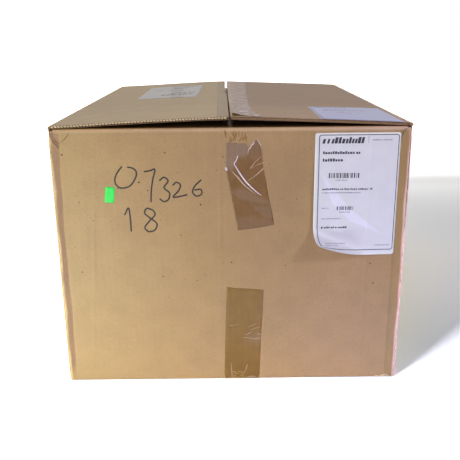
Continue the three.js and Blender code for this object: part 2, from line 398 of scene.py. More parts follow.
# Label face: coated white paper from a thermal printer, smooth and slightly satin.
def labelPaper(name, colour="#ededee", roughness=0.42):
    material, tree, shader = startMaterial(name, roughness)
    cloud = clouds(tree, objectPlace(tree), 45.0, 3.0)
    face = shaded(tree, toLinear(colour)[:3], ranged(tree, cloud, 0.3, 0.7, 0.94, 1.0))
    coloured(tree, shader, mixed(tree, 1.0, face, stored(tree, "tint", "Color"), "MULTIPLY"))
    bumped(tree, shader, cloud, distance=0.0003)
    return material


# Ink: carbon black from a thermal ribbon or a felt pen, dried matt into the paper.
def ink(name, colour, roughness=0.6, ior=1.5):
    material, tree, shader = startMaterial(name, roughness, ior)
    soak = clouds(tree, objectPlace(tree), 800.0, 2.0)
    coloured(tree, shader, shaded(tree, toLinear(colour)[:3], ranged(tree, soak, 0.3, 0.7, 0.8, 1.25)))
    return material


outerX = kraftLiner("kraftLinerAcrossX", 0)
outerY = kraftLiner("kraftLinerAcrossY", 1)
edgePulp = cutEdge()
# the right flap's cut edges are darker
darkerPulp = cutEdge("darkerBoardEdge", dark="#5c4636", pale="#80634c")
medium = flutingPaper()
filmX = packingTape("brownTapeOnX", 0)
filmStrip = packingTape("brownTapeOnSeam", 0, film="#8c6a34")
filmTab = packingTape("brownTapeOnTab", 0, film="#8b673f", haze="#98806c")
filmLeft = packingTape("brownTapeOnLeftFlap", 1, haze="#b3a88d", roughness=0.5)
filmY = packingTape("brownTapeOnY", 1, haze="#ab9a8c", roughness=0.4)
print("materials made")


# ---- the carton body: walls, corners and the flaps that don't move

low, high = boxOf("carton_body")
halfWidth, halfDepth = high[0], high[1]
hinge = {joint["child"]: joint for joint in frame["joints"]}

board = {
    "thickness": 4.0,
    "liner": 0.4,
    "layerGap": 0.3,
    "foldRadius": 4.6,  # outer face of a score
    "insideFold": 0.6,
    "cornerRadius": 5.0,
    "slot": 5.5,  # from the outside of the box to the side of a flap
    "cornerNotch": 1.6,
    "innerDroop": 1.5,  # degrees
    "innerSeam": 1.7,  # from the middle of the box to the end of an inner flap
    "bottomSeam": 1.0,
    "footRadius": 2.5,
    "footClearance": 0.45,
    "bottomFlap": 4.45,  # underside of the inner bottom flaps
    "tapeRoom": 0.15,  # underside of the outer ones, which the tape lifts off the floor
    "standFrom": 18.0,  # from the wall to where they begin to rise, and have risen
    "standTo": 22.0,
    "lap": 20.0,  # how far a short wall's bent foot reaches in
    "innerFoot": 8.0,  # how much higher the flat of its inner face begins
    "sideGroove": 1.2,  # how far the medium is set back from an edge cut along the flutes
    "endGroove": 8.0,
    "longest": 30.0,  # mesh steps
    "coarse": 6.0,
    "fine": 1.0,
}
hingeHeight = hinge["left_flap"]["pos_m"][2] * 1000
boxHeight = hingeHeight - board["thickness"] - board["layerGap"]
innerReach = halfWidth - board["innerSeam"]
wallTop = hingeHeight - board["foldRadius"]  # where a long wall ends and its fold begins

# The four corners were crushed in handling: beside each edge the board rises to a bead and rolls over.
bead = {
    "height": 1.7,
    "crest": 3.6,  # from the corner
    "start": 12.0,
    "taper": 2.0,  # how much narrower the crushed strip is at the floor
    "side": 0.7,  # the smaller bead on the long walls
    "drift": 1.0,  # how much farther in the crest lies at the floor
}

# The front wall isn't flat: three faint ridges stand along its flutes, and it waves a little.
panel = {
    "wave": 0.35,
    "ridges": [(-167.4, -0.071), (-13.2, -0.014), (168.9, 0.0)],  # place at mid height, and lean
    "ridgeHeight": 0.3,
    "ridgeWidth": 3.2,
    "midHeight": 247.0,
    "bulge": 0.6,  # how far the long walls wave
}

# At the top of the front left corner the liner has buckled into a curled lip.
lip = {
    "line": [(-214.2, 333.5), (-213.2, 326.8), (-210.7, 320.8), (-206.6, 316.3), (-205.0, 312.5)],
    "height": 1.5,
    "width": 2.2,
}


def panelRelief(x, z):
    wave = np.sin(x / 61 + 0.7) * np.sin(z / 83 + 1.1) + 0.5 * np.sin(x / 29 - z / 47)
    inside = smoothStep(halfWidth - np.abs(x), 13, 40) * smoothStep(z, 4, 30)
    out = panel["wave"] * wave * inside * smoothStep(boxHeight - z, 8, 30)
    for place, lean in panel["ridges"]:
        away = np.abs(x - place - lean * (panel["midHeight"] - z))
        rise = np.clip(1 - away / panel["ridgeWidth"], 0, 1)
        out = out + panel["ridgeHeight"] * rise * smoothStep(boxHeight - z, 6, 14) * smoothStep(z, 3, 12)
    return out


def lipRelief(x, z):
    away, along = distanceToLine(np.stack([x, z], -1).reshape(-1, 2), lip["line"])
    away, along = away.reshape(np.shape(x)), along.reshape(np.shape(x))
    return lip["height"] * np.clip(1 - away / lip["width"], 0, 1) * smoothStep(1 - along, 0, 0.3)


def stripEdge(z, seed):
    # where the crushed strip ends on the wall, which wanders and narrows to the floor
    wander = 0.8 * np.sin(z / 37 + seed) + 0.4 * np.sin(z / 11 + 2 * seed)
    return bead["start"] - bead["taper"] * (1 - z / boxHeight) + wander


def stripCrest(z):
    return bead["crest"] + bead["drift"] * (1 - z / boxHeight)


def beadRelief(s, z, seed):
    # s is the distance from the corner
    start, crest = stripEdge(z, seed), stripCrest(z)
    up = np.clip((start - s) / (start - crest), 0, 1)
    over = np.clip((crest - s) / crest, 0, 1)
    return bead["height"] * (up - 0.75 * over ** 2) * smoothStep(z, 2, 16) * smoothStep(boxHeight - z, 6, 20)


def frontFace(x, z):
    # how far the outer face of the front wall stands out from its plane
    x, z = spread(x, z)
    return panelRelief(x, z) + beadRelief(halfWidth - np.abs(x), z, np.sign(x)) + lipRelief(x, z)


def weathered(points):
    # pushes the outer faces of the walls out or in where the carton is bent
    x, y, z = np.moveaxis(points, -1, 0)
    fromSide, fromFront = halfWidth - np.abs(x), halfDepth - np.abs(y)
    nearFront = np.clip(1 - fromFront / board["cornerRadius"], 0, 1)
    nearSide = np.clip(1 - fromSide / board["cornerRadius"], 0, 1)
    seed = np.sign(x) + 3 * (y > 0)
    relief = np.where(y < 0, panelRelief(x, z) + lipRelief(x, z), -panelRelief(-x, z))
    push = (beadRelief(fromSide, z, seed) + relief) * nearFront
    side = bead["side"] / bead["height"] * beadRelief(fromFront + 1, z, seed + 5) * nearSide
    bulge = panel["bulge"] * np.sin(y / 90 + np.sign(x)) * np.sin(z / 100) * nearSide
    bulge = bulge * smoothStep(fromFront, 14, 60) * smoothStep(z, 8, 40) * smoothStep(boxHeight - z, 8, 40)
    moved = points.copy()
    moved[..., 1] += np.sign(y) * push
    moved[..., 0] += np.sign(x) * (side + bulge)
    return moved


def slabParts(outer, inner, grooves, slots=(0, 0, 2, 3)):
    # Board between two grids. grooves gives its open sides and how deep the medium is set back in each:
    # "start" and "end" are the first and last rows, "left" and "right" the first and last columns.
    # slots are the materials of the outer face, the inner face, the liners' edges and the medium.
    normals = np.cross(np.gradient(outer, axis=1), np.gradient(outer, axis=0))
    flip = (normals * (outer - inner)).sum(-1).mean() < 0
    parts = [gridPart(outer, flip, slots[0]), gridPart(inner, not flip, slots[1])]
    share = board["liner"] / board["thickness"]
    ways = {
        "start": unit(outer[1] - outer[0]),
        "end": unit(outer[-2] - outer[-1]),
        "left": unit(outer[:, 1] - outer[:, 0]),
        "right": unit(outer[:, -2] - outer[:, -1]),
    }
    edges = {"start": np.s_[0], "end": np.s_[-1], "left": np.s_[:, 0], "right": np.s_[:, -1]}
    rowEnds, columnEnds = ("left", "right"), ("start", "end")
    ends = {"start": rowEnds, "end": rowEnds, "left": columnEnds, "right": columnEnds}
    for side, depth in grooves.items():
        a, b = outer[edges[side]], inner[edges[side]]
        if depth:
            back = ways[side] * depth
            for end, neighbour in zip((0, -1), ends[side]):
                if grooves.get(neighbour):
                    other = ways[neighbour][0 if side in ("start", "left") else -1]
                    back[end] = back[end] + other * grooves[neighbour]
            a1, b1 = a + (b - a) * share, b + (a - b) * share
            groove = np.stack([a1, a1 + back, b1 + back, b1])
            strips = [(np.stack([a, a1]), 2), (groove, 3), (np.stack([b1, b]), 2)]
        else:
            strips = [(np.stack([a, b]), 2)]
        turn = np.cross(np.gradient(a, axis=0), b - a)
        turned = (turn * -ways[side]).sum(-1).mean() < 0
        parts += [gridPart(strip, turned, slots[slot]) for strip, slot in strips]
    return parts


def profileRows(line, place):
    # a wall's profile, as (inward, height) points, drawn out over its columns
    return np.stack([place(p, z) for p, z in line])


def resampled(line, count):
    lengths = np.concatenate([[0], np.cumsum(np.linalg.norm(np.diff(line, axis=0), axis=1))])
    stops = np.linspace(0, lengths[-1], count)
    return np.stack([np.interp(stops, lengths, line[:, i]) for i in (0, 1)], -1)


def shortWallPlace(side, columns):
    def place(p, z):
        y = side * (halfDepth - p)
        return np.stack([columns, np.full_like(columns, y), np.full_like(columns, z)], -1)

    return place


def longWallPlace(side, columns):
    def place(p, z):
        x = side * (halfWidth - p)
        return np.stack([np.full_like(columns, x), columns, np.full_like(columns, z)], -1)

    return place


heights = np.concatenate([
    [board["footClearance"] + board["footRadius"], board["foldRadius"]],
    spaced(9, 298, board["coarse"]),
    spaced(299.6, boxHeight - board["foldRadius"], 1.6),
])


def shortWallParts(side, columns):
    # the wall with its foot and inner bottom flap below it, and its inner top flap above
    thick, fold, inside = board["thickness"], board["foldRadius"], board["insideFold"]
    foot, under, lap, longest = board["footClearance"], board["bottomFlap"], board["lap"], board["longest"]
    flatFrom = heights[0] + board["innerFoot"]
    place = shortWallPlace(side, columns)
    sides = {"left": board["sideGroove"], "right": board["sideGroove"]}
    flat = withStops([np.array([innerReach, under]), np.array([lap, under])], longest)
    footLine = roundedLine([(lap, under), (thick, under), (thick, foot), (0, foot), (0, heights[0])],
                           [0.3, 0.6, board["footRadius"]])
    insideLine = roundedLine([(lap, under + thick), (thick, under + thick), (thick, flatFrom)], [inside])
    outer = np.concatenate([flat, resampled(np.array(footLine), 24)[1:]])
    inner = np.concatenate([flat + [0, thick], resampled(np.array(insideLine), 24)[1:]])
    grooves = {"start": board["endGroove"], **sides}
    parts = slabParts(profileRows(outer, place), profileRows(inner, place), grooves)
    insideHeights = np.interp(heights, heights[[0, -1]], [flatFrom, heights[-1]])
    wallOuter = np.stack([np.zeros_like(heights), heights], -1)
    wallInner = np.stack([np.full_like(heights, thick), insideHeights], -1)
    parts += slabParts(weathered(profileRows(wallOuter, place)), profileRows(wallInner, place), {})
    drop = math.radians(board["innerDroop"])
    end = np.array([innerReach * math.cos(drop), boxHeight - innerReach * math.sin(drop)])
    below = thick * np.array([math.sin(drop), -math.cos(drop)]) * [-1, 1]
    top = withStops(roundedLine([(0, heights[-1]), (0, boxHeight), end], [fold])[1:], longest)
    start = np.array([thick, boxHeight - thick])
    bottom = np.array(roundedLine([(thick, heights[-1]), start, end + below], [inside])[1:])
    arc = 7  # points round the fold
    bottom = np.concatenate([bottom[:arc], withStops([bottom[arc - 1], bottom[-1]], longest)[1:]])
    bottom = np.concatenate([bottom[:arc], resampled(bottom[arc - 1:], len(top) - arc + 1)[1:]])
    grooves = {"end": board["endGroove"], **sides}
    return parts + slabParts(profileRows(top, place), profileRows(bottom, place), grooves)


def longWallParts(side, columns):
    # the wall with its outer bottom flap, up to the fold of its top flap
    thick, fold, inside = board["thickness"], board["foldRadius"], board["insideFold"]
    lifted, near, far = board["tapeRoom"], board["standFrom"], board["standTo"]
    place = longWallPlace(side, columns)
    reach = halfWidth - board["bottomSeam"]
    outer = roundedLine([(reach, lifted), (far, lifted), (near, 0), (0, 0), (0, fold)], [0, 0, fold])[:-1]
    upper = thick + lifted
    inner = roundedLine([(reach, upper), (far, upper), (near, thick), (thick, thick), (thick, fold)],
                        [0, 0, inside])[:-1]
    outer = withStops(outer, board["longest"])
    inner = resampled(np.array(inner), len(outer))
    grooves = {"start": board["endGroove"], "left": board["sideGroove"], "right": board["sideGroove"]}
    parts = slabParts(profileRows(outer, place), profileRows(inner, place), grooves, (1, 1, 2, 3))
    rows = np.concatenate([heights[1:], [boxHeight - board["cornerNotch"], wallTop]])
    wall = weathered(profileRows(np.stack([np.zeros_like(rows), rows], -1), place))
    wallInner = profileRows(np.stack([np.full_like(rows, thick), rows], -1), place)
    return parts + slabParts(wall, wallInner, {"end": 0}, (1, 1, 2, 3))


def cornerParts(sideX, sideY):
    thick, reach = board["thickness"], board["slot"]
    outline = roundedLine([(reach, 0), (0, 0), (0, reach)], [board["cornerRadius"]], 10)
    outline = withStops(outline, board["fine"])
    insideLine = np.array(roundedLine([(reach, thick), (thick, thick), (thick, reach)], [1.0], 6))
    insideLine = resampled(insideLine, len(outline))
    rows = np.concatenate([[board["cornerNotch"]], heights, [boxHeight - board["cornerNotch"]]])

    def upright(line):
        across = np.stack([sideX * (halfWidth - line[:, 0]), sideY * (halfDepth - line[:, 1])], -1)
        return np.stack([np.column_stack([across, np.full(len(line), z)]) for z in rows])

    outer, inner = weathered(upright(outline)), upright(insideLine)
    parts = slabParts(outer, inner, {"start": 0, "end": 0})
    for column, flip in ((0, sideX * sideY < 0), (-1, sideX * sideY > 0)):
        for ends in (np.s_[:2], np.s_[-2:]):
            parts.append(gridPart(np.stack([outer[ends, column], inner[ends, column]]), flip, 2))
    return parts


def columnsAt(stops, steps):
    return np.unique(np.concatenate([spaced(a, b, step) for a, b, step in zip(stops, stops[1:], steps)]))


def frontColumns():
    # closer together at the crushed corners and over the three ridges
    edge, fine, coarse = halfWidth - board["slot"], board["fine"], board["coarse"]
    return columnsAt([-edge, -186, -158, -22, -6, 161, 177, 197, edge],
                     [fine, 1.6, coarse, 1.4, coarse, 1.4, coarse, fine])


def plainColumns(edge):
    return columnsAt([-edge, -edge + 10, edge - 10, edge], [1.4, 9, 1.4])


# What each mark on the liner adds to its red, green and blue, as a share of them
linerMarks = {
    "crushed": (-0.18, -0.25, -0.08),  # the buckled strip beside the left edge: crushed liner, and painted shade where it turns away from the left light, which makes it a little mauve
    "rubbed": (0.05, 0.05, 0.05),  # where such a strip ends
    "pink": (0.6, 0.95, 2.2),  # the rolled right edge, rubbed paler, with a painted pink highlight where it turns to the light from the right
    "rightEdgeShade": (-0.68, -0.74, -0.78),  # painted shade on the outermost of it, near the top, which turns away from the light
    "lightened": (0.1, 0.13, 0.07),  # the top left of the front
    "darkerMiddle": (-0.08, -0.08, -0.06),  # a little darker in the middle of the front
    "rightStripShade": (-0.14, -0.14, -0.22),  # painted shade on the strip beside the rolled right edge, which turns away from the light from the right
    "leftRollHighlight": (0.55, 0.65, 0.7),  # painted highlight on the rolled left edge, which faces the warm light from the left
    "rim": (0.3, 0.3, 0.3),  # the fold along the top of the front, painted lighter as a highlight where light from above would fall, and three times that at its crest
    # the painted highlight on that fold is bluer, and more so towards the right
    "foldHighlightTone": (-0.06, 0.03, 0.17),
    "foldHighlightRight": (-0.02, -0.02, 0.22),
    "score": (-0.12, -0.12, -0.12),  # painted shade in the score line below that fold
    "foot": (-0.12, -0.2, -0.22),  # painted shade where the walls meet the floor
}


def cartonTints(piece):
    x, y, z = coordinates(piece).T
    fromSide = halfWidth - np.abs(x)
    shortWalls = halfDepth - np.abs(y) < 3
    frontWall = halfDepth + y < 3
    onWall = shortWalls & (z < boxHeight - 4)
    right, left = (onWall * (y < 0) * (side * x > 0) for side in (1, -1))
    start, crest = stripEdge(z, np.sign(x) + 3 * (y > 0)), stripCrest(z)
    crushed = smoothStep(start - fromSide, 0, 0.9) * smoothStep(fromSide, crest - 1.2, crest - 0.1)
    pinkEdge = 4.6 + 0.9 * np.sin(z / 29) + 0.4 * np.sin(z / 9)
    leftHighlightEdge = 3.9 + 1.1 * np.sin(z / 13) + 0.5 * np.sin(z / 5)
    darkerMiddle = np.exp(-((x - 50) / 105) ** 2) * smoothStep(z, 10, 80) * smoothStep(345 - z, 0, 60)
    rim = smoothStep(z, boxHeight - 5.0, boxHeight - 3.6) * smoothStep(4 - halfDepth - y, -3, 0)
    masks = {
        "crushed": crushed * smoothStep(z, 6, 30) * onWall * (x < 0),
        "rubbed": np.exp(-((fromSide - start - 0.9) / 0.7) ** 2) * onWall,
        "pink": smoothStep(pinkEdge - fromSide, -0.5, 0.7) * right,
        "rightEdgeShade": smoothStep(3.2 - fromSide, 0, 0.9) * smoothStep(z, 170, 270) * (x > 0) * (y < 0),
        "lightened": smoothStep(-x, 60, 190) * smoothStep(z, 190, 320) * frontWall,
        "darkerMiddle": darkerMiddle * frontWall,
        "rightStripShade": smoothStep(fromSide, 4.6, 5.8) * smoothStep(15.8 - fromSide, 0, 0.8) * right,
        "leftRollHighlight": smoothStep(leftHighlightEdge - fromSide, -0.5, 0.5) * left,
        "rim": rim * (1 + 2 * smoothStep(z, boxHeight - 3.5, boxHeight - 1.5)),
        "foldHighlightTone": rim,
        "foldHighlightRight": rim * smoothStep(x, 60, 180),
        "score": np.clip(1 - np.abs(z - (boxHeight - 5.6)) / 1.1, 0, 1) * shortWalls,
        "foot": np.clip(1 - z / 3.5, 0, 1) * shortWalls,
    }
    tint = np.ones((len(x), 3))
    for mark, mask in masks.items():
        tint *= 1 + mask[:, None] * np.array(linerMarks[mark])
    return tinted(piece, tint)


glueTab = {"width": 35.0, "slant": 12.0, "low": 20.2, "high": 319.0}


def glueTabParts():
    # the blank's tab, glued to the inside of the left wall at the back
    share, up = np.meshgrid(np.linspace(0, 1, 6), np.linspace(0, 1, 15), indexing="ij")
    low = glueTab["low"] + glueTab["slant"] * share
    high = glueTab["high"] - glueTab["slant"] * share
    y = halfDepth - board["thickness"] - 0.2 - glueTab["width"] * share
    z = low + (high - low) * up
    wall = -halfWidth + board["thickness"]
    faces = [np.stack([np.full_like(y, wall + lift), y, z], -1) for lift in (board["thickness"], 0.05)]
    return slabParts(*faces, {"start": 0, "end": 0, "left": 0, "right": 0}, (1, 1, 2, 3))


cartonParts = glueTabParts()
shortWallColumns = {-1: frontColumns(), 1: plainColumns(halfWidth - board["slot"])}
for side in (-1, 1):
    cartonParts += shortWallParts(side, shortWallColumns[side])
    cartonParts += longWallParts(side, plainColumns(halfDepth - board["slot"]))
    for end in (-1, 1):
        cartonParts += cornerParts(side, end)
cartonBoard = pieceFrom("cartonBoard", cartonParts, [outerX, outerY, edgePulp, medium])
cartonTints(sharpened(cartonBoard))
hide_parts("carton_body")
print("carton folded", len(cartonBoard.data.polygons))


# ---- the two outer top flaps, slit apart along the seam and standing a little open

flap = {
    "halfLength": halfDepth - 1.0,
    "foldStart": 4.9,  # from the hinge to the flat of the flap
    "leftArch": 1.0,  # the left flap is warped upwards, most of all near the seam
    "leftCurl": 0.6,  # and it curls up along the seam
    "rightArch": 0.8,  # the right one arches a little, nearer its hinge
    "rightLift": 0.9,  # and its front corner by the seam stands up
    # where each flap ends, as (along the seam, from the hinge)
    "leftEnd": [(-285, 215.6), (-50, 214.1), (30, 212.3), (42, 210.1), (52, 211.9), (180, 210.4),
                (285, 210.6)],
    "rightEnd": [(-285, 217.1), (-50, 218.9), (120, 219.6), (285, 219.9)],
    "foldBulge": {-1: 1.8, 1: 3.2},  # how far the score has been pushed out by the load that stood on it
    "frontWander": 0.5,
    "tone": {-1: (1.0, 1.2, 1.37), 1: (0.6, 0.605, 0.73)},  # dust greys the tops of the flaps, and painted sheen and shade: the left one lighter and greyer, the right one darker and bluer, as the light falls on them
    "lightened": {-1: 0.16, 1: 0.48},  # and painted sheen leaves their front ends paler
    # painted light: the right fold darker and bluer than the left one, as the light falls on them
    "foldTone": {-1: (0.86, 0.92, 1.12), 1: (0.75, 0.8, 1.3)},
}


def flapEnd(side, y):
    places, ends = zip(*flap["leftEnd" if side < 0 else "rightEnd"])
    return np.interp(y, places, ends)


def flapHeight(side, d, y):
    # height of the flap's top face over the flat of a closed one
    reach = flapEnd(side, y)
    share = np.clip((d - 9.5) / (reach - 9.5), 0, 1.2)
    if side < 0:
        front = smoothStep(-np.asarray(y, float), -100, 285)
        height = flap["leftArch"] * 6.75 * share ** 2 * (1 - share)
        height = height + flap["leftCurl"] * (front * share + (1 - front) * share ** 4)
    else:
        height = flap["rightArch"] * 6.75 * share * (1 - share) ** 2
        height = height + flap["rightLift"] * smoothStep(-np.asarray(y, float), -100, 285) * share
    wave = 0.35 * np.sin(y / 71 + side) * np.sin(d / 63 + 0.5) + 0.15 * np.sin(y / 31 + d / 45)
    return height + wave * smoothStep(d, 15, 60)


def flapRaise(side):
    # how far a flap stands open at rest, as its joint's range begins where it lies closed
    return math.radians(-hinge["left_flap" if side < 0 else "right_flap"]["range_deg"][0])


def flapPoint(side, d, y, lift=0.0):
    # d is the distance from the hinge over the flap, and lift the height over its top face
    d, y, lift = spread(d, y, lift)
    raised = flapRaise(side)
    h = flapHeight(side, d, y) + lift
    across = d * math.cos(raised) - h * math.sin(raised)
    z = hingeHeight + d * math.sin(raised) + h * math.cos(raised)
    return np.stack([side * (halfWidth - across), y, z], -1)


def flapGrid(side, lift, frontStep=1.2):
    end = flap["halfLength"]
    y = np.unique(np.concatenate([spaced(-end, -end + 4, frontStep), spaced(-end + 4, end - 4, 5.0),
                                  spaced(end - 4, end, 2.0)]))
    share = np.concatenate([spaced(0, 0.96, 0.03), spaced(0.97, 1, 0.01)])[:, None]
    start = flap["foldStart"]
    d = start + (flapEnd(side, y)[None, :] - start) * share
    y = np.broadcast_to(y, d.shape)
    atFront = np.clip((-end + 4 - y) / 4, 0, 1)
    wander = flap["frontWander"] * np.sin(d / 23 + side) * atFront
    crushed = -0.5 * atFront ** 2 * (lift > -1) + 0.2 * atFront ** 2 * (lift < -1)
    return flapPoint(side, d, y + wander, lift + crushed)


def topFlap(side, name):
    groove = board["sideGroove"]
    parts = slabParts(flapGrid(side, 0.0), flapGrid(side, -board["thickness"]),
                      {"start": 0, "end": board["endGroove"], "left": groove, "right": groove}, (0, 0, 1, 2))
    piece = pieceFrom(name, parts, [outerY, edgePulp if side < 0 else darkerPulp, medium])
    place = coordinates(piece)
    edge = np.abs(place[:, 1]) - flap["halfLength"] + 3
    tint = 1 - smoothStep(edge, 0, 2.5)[:, None] * np.array([0.05, 0.07, 0.08])
    lightened = 1 + flap["lightened"][side] * smoothStep(-place[:, 1], 60, 280)[:, None]
    return tinted(sharpened(piece), tint * np.array(flap["tone"][side]) * lightened)


leftFlapBoard = topFlap(-1, "leftFlapBoard")
rightFlapBoard = topFlap(1, "rightFlapBoard")
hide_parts("left_top_flap")
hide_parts("right_top_flap")


def bezier(a, b, c, d, count):
    t = np.linspace(0, 1, count)[:, None]
    return a * (1 - t) ** 3 + 3 * b * t * (1 - t) ** 2 + 3 * c * t ** 2 * (1 - t) + d * t ** 3


def foldStrip(side, name):
    # the scored board between the top of a long wall and its flap, bent as it lies with the flap at rest
    reach, thick = halfDepth - board["slot"] + 1.5, board["thickness"]
    y = plainColumns(reach)
    raised = flapRaise(side)
    along = np.array([math.cos(raised), math.sin(raised)])
    rows = []
    for depth, pull in ((0.0, 2.6), (thick, 0.5)):
        wall = np.array([depth, wallTop])
        flat = flapPoint(side, flap["foldStart"], 0.0, -depth)
        flat = np.array([halfWidth - abs(flat[0]), flat[2]])
        bulge = np.array([-flap["foldBulge"][side], 0])
        line = bezier(wall, wall + [0, pull] + bulge, flat - along * pull + bulge, flat, 9)
        rows.append(profileRows(line, longWallPlace(side, y)))
    parts = slabParts(rows[0], rows[1], {"start": 0, "end": 0, "left": 0, "right": 0}, (0, 0, 1, 1))
    piece = sharpened(pieceFrom(name, parts, [outerY, edgePulp]))
    place = coordinates(piece)
    # painted shade along the crease of the fold
    crease = np.exp(-((place[:, 2] - wallTop - 2) / 1.2) ** 2)[:, None] * 0.06
    return tinted(piece, (1 - crease) * np.array(flap["foldTone"][side]))


leftFold = foldStrip(-1, "leftFold")
rightFold = foldStrip(1, "rightFold")
print("flaps folded")


# ---- fluted medium at the edges that cut across the flutes

flutes = {
    "wall": 0.28,
    "steps": 12,  # points along each flute
    "recess": 0.4,  # how far they end inside the cut edge
    "depth": 7.0,  # how far in they are drawn
    "short": 3.0,  # how much shorter a strip of them is than its edge
}


def groupInput(tree, name, kind, value=None):
    socket = tree.interface.new_socket(name=name, in_out="INPUT", socket_type=kind)
    if value is not None:
        socket.default_value = value
    return socket.identifier


def grown(tree, values, base=None, name="grown"):
    # runs a node tree on a mesh, with its inputs set by identifier, and returns the plain mesh that it makes
    piece = bpy.data.objects.new(name, base or bpy.data.meshes.new(name))
    bpy.context.scene.collection.objects.link(piece)
    modifier = piece.modifiers.new(name, "NODES")
    modifier.node_group = tree
    for identifier, value in values.items():
        modifier[identifier] = value
    bpy.context.view_layer.update()
    graph = bpy.context.evaluated_depsgraph_get()
    mesh = bpy.data.meshes.new_from_object(piece.evaluated_get(graph), depsgraph=graph)
    piece.modifiers.remove(modifier)
    bpy.data.objects.remove(piece)
    return mesh


def fluteTree():
    # a wavy strip along X, in metres: X along the edge, Y into the board and Z through it
    tree = bpy.data.node_groups.new("flutedStrip", "GeometryNodeTree")
    ids = {name: groupInput(tree, name, "NodeSocketFloat", 0.01)
           for name in ("Length", "Depth", "Pitch", "Rise", "Wall")}
    ids["Steps"] = groupInput(tree, "Steps", "NodeSocketInt", 12)
    tree.interface.new_socket(name="Geometry", in_out="OUTPUT", socket_type="NodeSocketGeometry")
    given = addNode(tree, "NodeGroupInput").outputs
    waves = reckoned(tree, "DIVIDE", given["Length"], given["Pitch"])
    count = reckoned(tree, "ADD", reckoned(tree, "MULTIPLY", waves, given["Steps"]), 1.0)
    grid = addNode(tree, "GeometryNodeMeshGrid", {
        "Size X": given["Length"], "Size Y": given["Depth"], "Vertices X": count, "Vertices Y": 2})
    place = addNode(tree, "GeometryNodeInputPosition")
    x = addNode(tree, "ShaderNodeSeparateXYZ", {0: place.outputs[0]}).outputs[0]
    turn = reckoned(tree, "MULTIPLY", reckoned(tree, "DIVIDE", x, given["Pitch"]), 2 * math.pi)
    half = reckoned(tree, "MULTIPLY", given["Rise"], 0.5)
    offset = addNode(tree, "ShaderNodeCombineXYZ",
                     {2: reckoned(tree, "MULTIPLY", reckoned(tree, "SINE", turn), half)})
    wavy = addNode(tree, "GeometryNodeSetPosition", {
        "Geometry": grid.outputs["Mesh"], "Offset": offset.outputs[0]})
    thick = addNode(tree, "GeometryNodeExtrudeMesh", {
        "Mesh": wavy.outputs[0], "Offset Scale": given["Wall"], "Individual": False}, mode="FACES")
    back = addNode(tree, "GeometryNodeFlipFaces", {"Mesh": wavy.outputs[0]})
    both = addNode(tree, "GeometryNodeJoinGeometry")
    tree.links.new(thick.outputs["Mesh"], both.inputs[0])
    tree.links.new(back.outputs[0], both.inputs[0])
    whole = addNode(tree, "GeometryNodeMergeByDistance", {"Geometry": both.outputs[0], "Distance": 0.00001})
    real = addNode(tree, "GeometryNodeRealizeInstances", {"Geometry": whole.outputs[0]})
    painted = addNode(tree, "GeometryNodeSetMaterial", {"Geometry": real.outputs[0], "Material": medium})
    addNode(tree, "NodeGroupOutput", {0: painted.outputs[0]})
    return tree, ids


fluteMaker, fluteIds = fluteTree()


def flutedEdge(length, place):
    # place turns (along the edge, into the board, up through it) in millimetres to a point of the carton
    rise = board["thickness"] - 2 * board["liner"] - flutes["wall"]
    lengths = {"Length": length - flutes["short"], "Depth": flutes["depth"], "Pitch": kraft["flutePitch"],
               "Rise": rise, "Wall": flutes["wall"]}
    mesh = grown(fluteMaker, {fluteIds["Steps"]: flutes["steps"],
                              **{fluteIds[name]: value / 1000 for name, value in lengths.items()}})
    x, y, z = meshPoints(mesh).T
    faces = [list(polygon.vertices) for polygon in mesh.polygons]
    inward = y + flutes["depth"] / 2 + flutes["recess"]
    return place(x, inward, z - board["thickness"] / 2), np.array(faces), 0


def innerTopFlutes(side):
    drop = math.radians(board["innerDroop"])

    def place(x, inward, z):
        p = innerReach * math.cos(drop) - inward * math.cos(drop) + z * math.sin(drop)
        height = boxHeight - (innerReach - inward) * math.sin(drop) + z * math.cos(drop)
        return np.stack([x, side * (halfDepth - p), height], -1)

    return flutedEdge(2 * (halfWidth - board["slot"]), place)


def innerBottomFlutes(side):
    return flutedEdge(2 * (halfWidth - board["slot"]), lambda x, inward, z: np.stack(
        [x, side * (halfDepth - innerReach + inward), board["bottomFlap"] + board["thickness"] + z], -1))


def outerBottomFlutes(side):
    return flutedEdge(2 * (halfDepth - board["slot"]), lambda x, inward, z: np.stack(
        [side * (board["bottomSeam"] + inward), x, board["tapeRoom"] + board["thickness"] + z], -1))


def topFlutes(side):
    return flutedEdge(2 * flap["halfLength"],
                      lambda x, inward, z: flapPoint(side, flapEnd(side, x) - inward, x, z))


cartonFlutes = pieceFrom("cartonFlutes", [
    maker(side) for side in (-1, 1)
    for maker in (innerTopFlutes, innerBottomFlutes, outerBottomFlutes)], [medium])
leftFlutes = pieceFrom("leftFlapFlutes", [topFlutes(-1)], [medium])
rightFlutes = pieceFrom("rightFlapFlutes", [topFlutes(1)], [medium])
print("flutes made")


# ---- thin sheets: tape, labels and ink

def filled(outline, step):
    # points and triangles that fill a 2-D outline, with points step apart inside it
    edge = withStops([*(np.array(p, float) for p in outline), np.array(outline[0], float)], step)[:-1]
    low, high = edge.min(0), edge.max(0)
    x, y = np.meshgrid(spaced(low[0], high[0], step)[1:-1], spaced(low[1], high[1], step)[1:-1])
    inside = np.stack([x.ravel(), y.ravel()], -1)
    points = edge
    if len(inside):
        away, _ = distanceToLine(inside, [*edge, edge[0]])
        points = np.concatenate([edge, inside[away > 0.45 * step]])
    made = delaunay_2d_cdt([Vector(p) for p in points], [], [list(range(len(edge)))], 1, 1e-6)
    return np.array([tuple(p) for p in made[0]]), np.array(made[2])


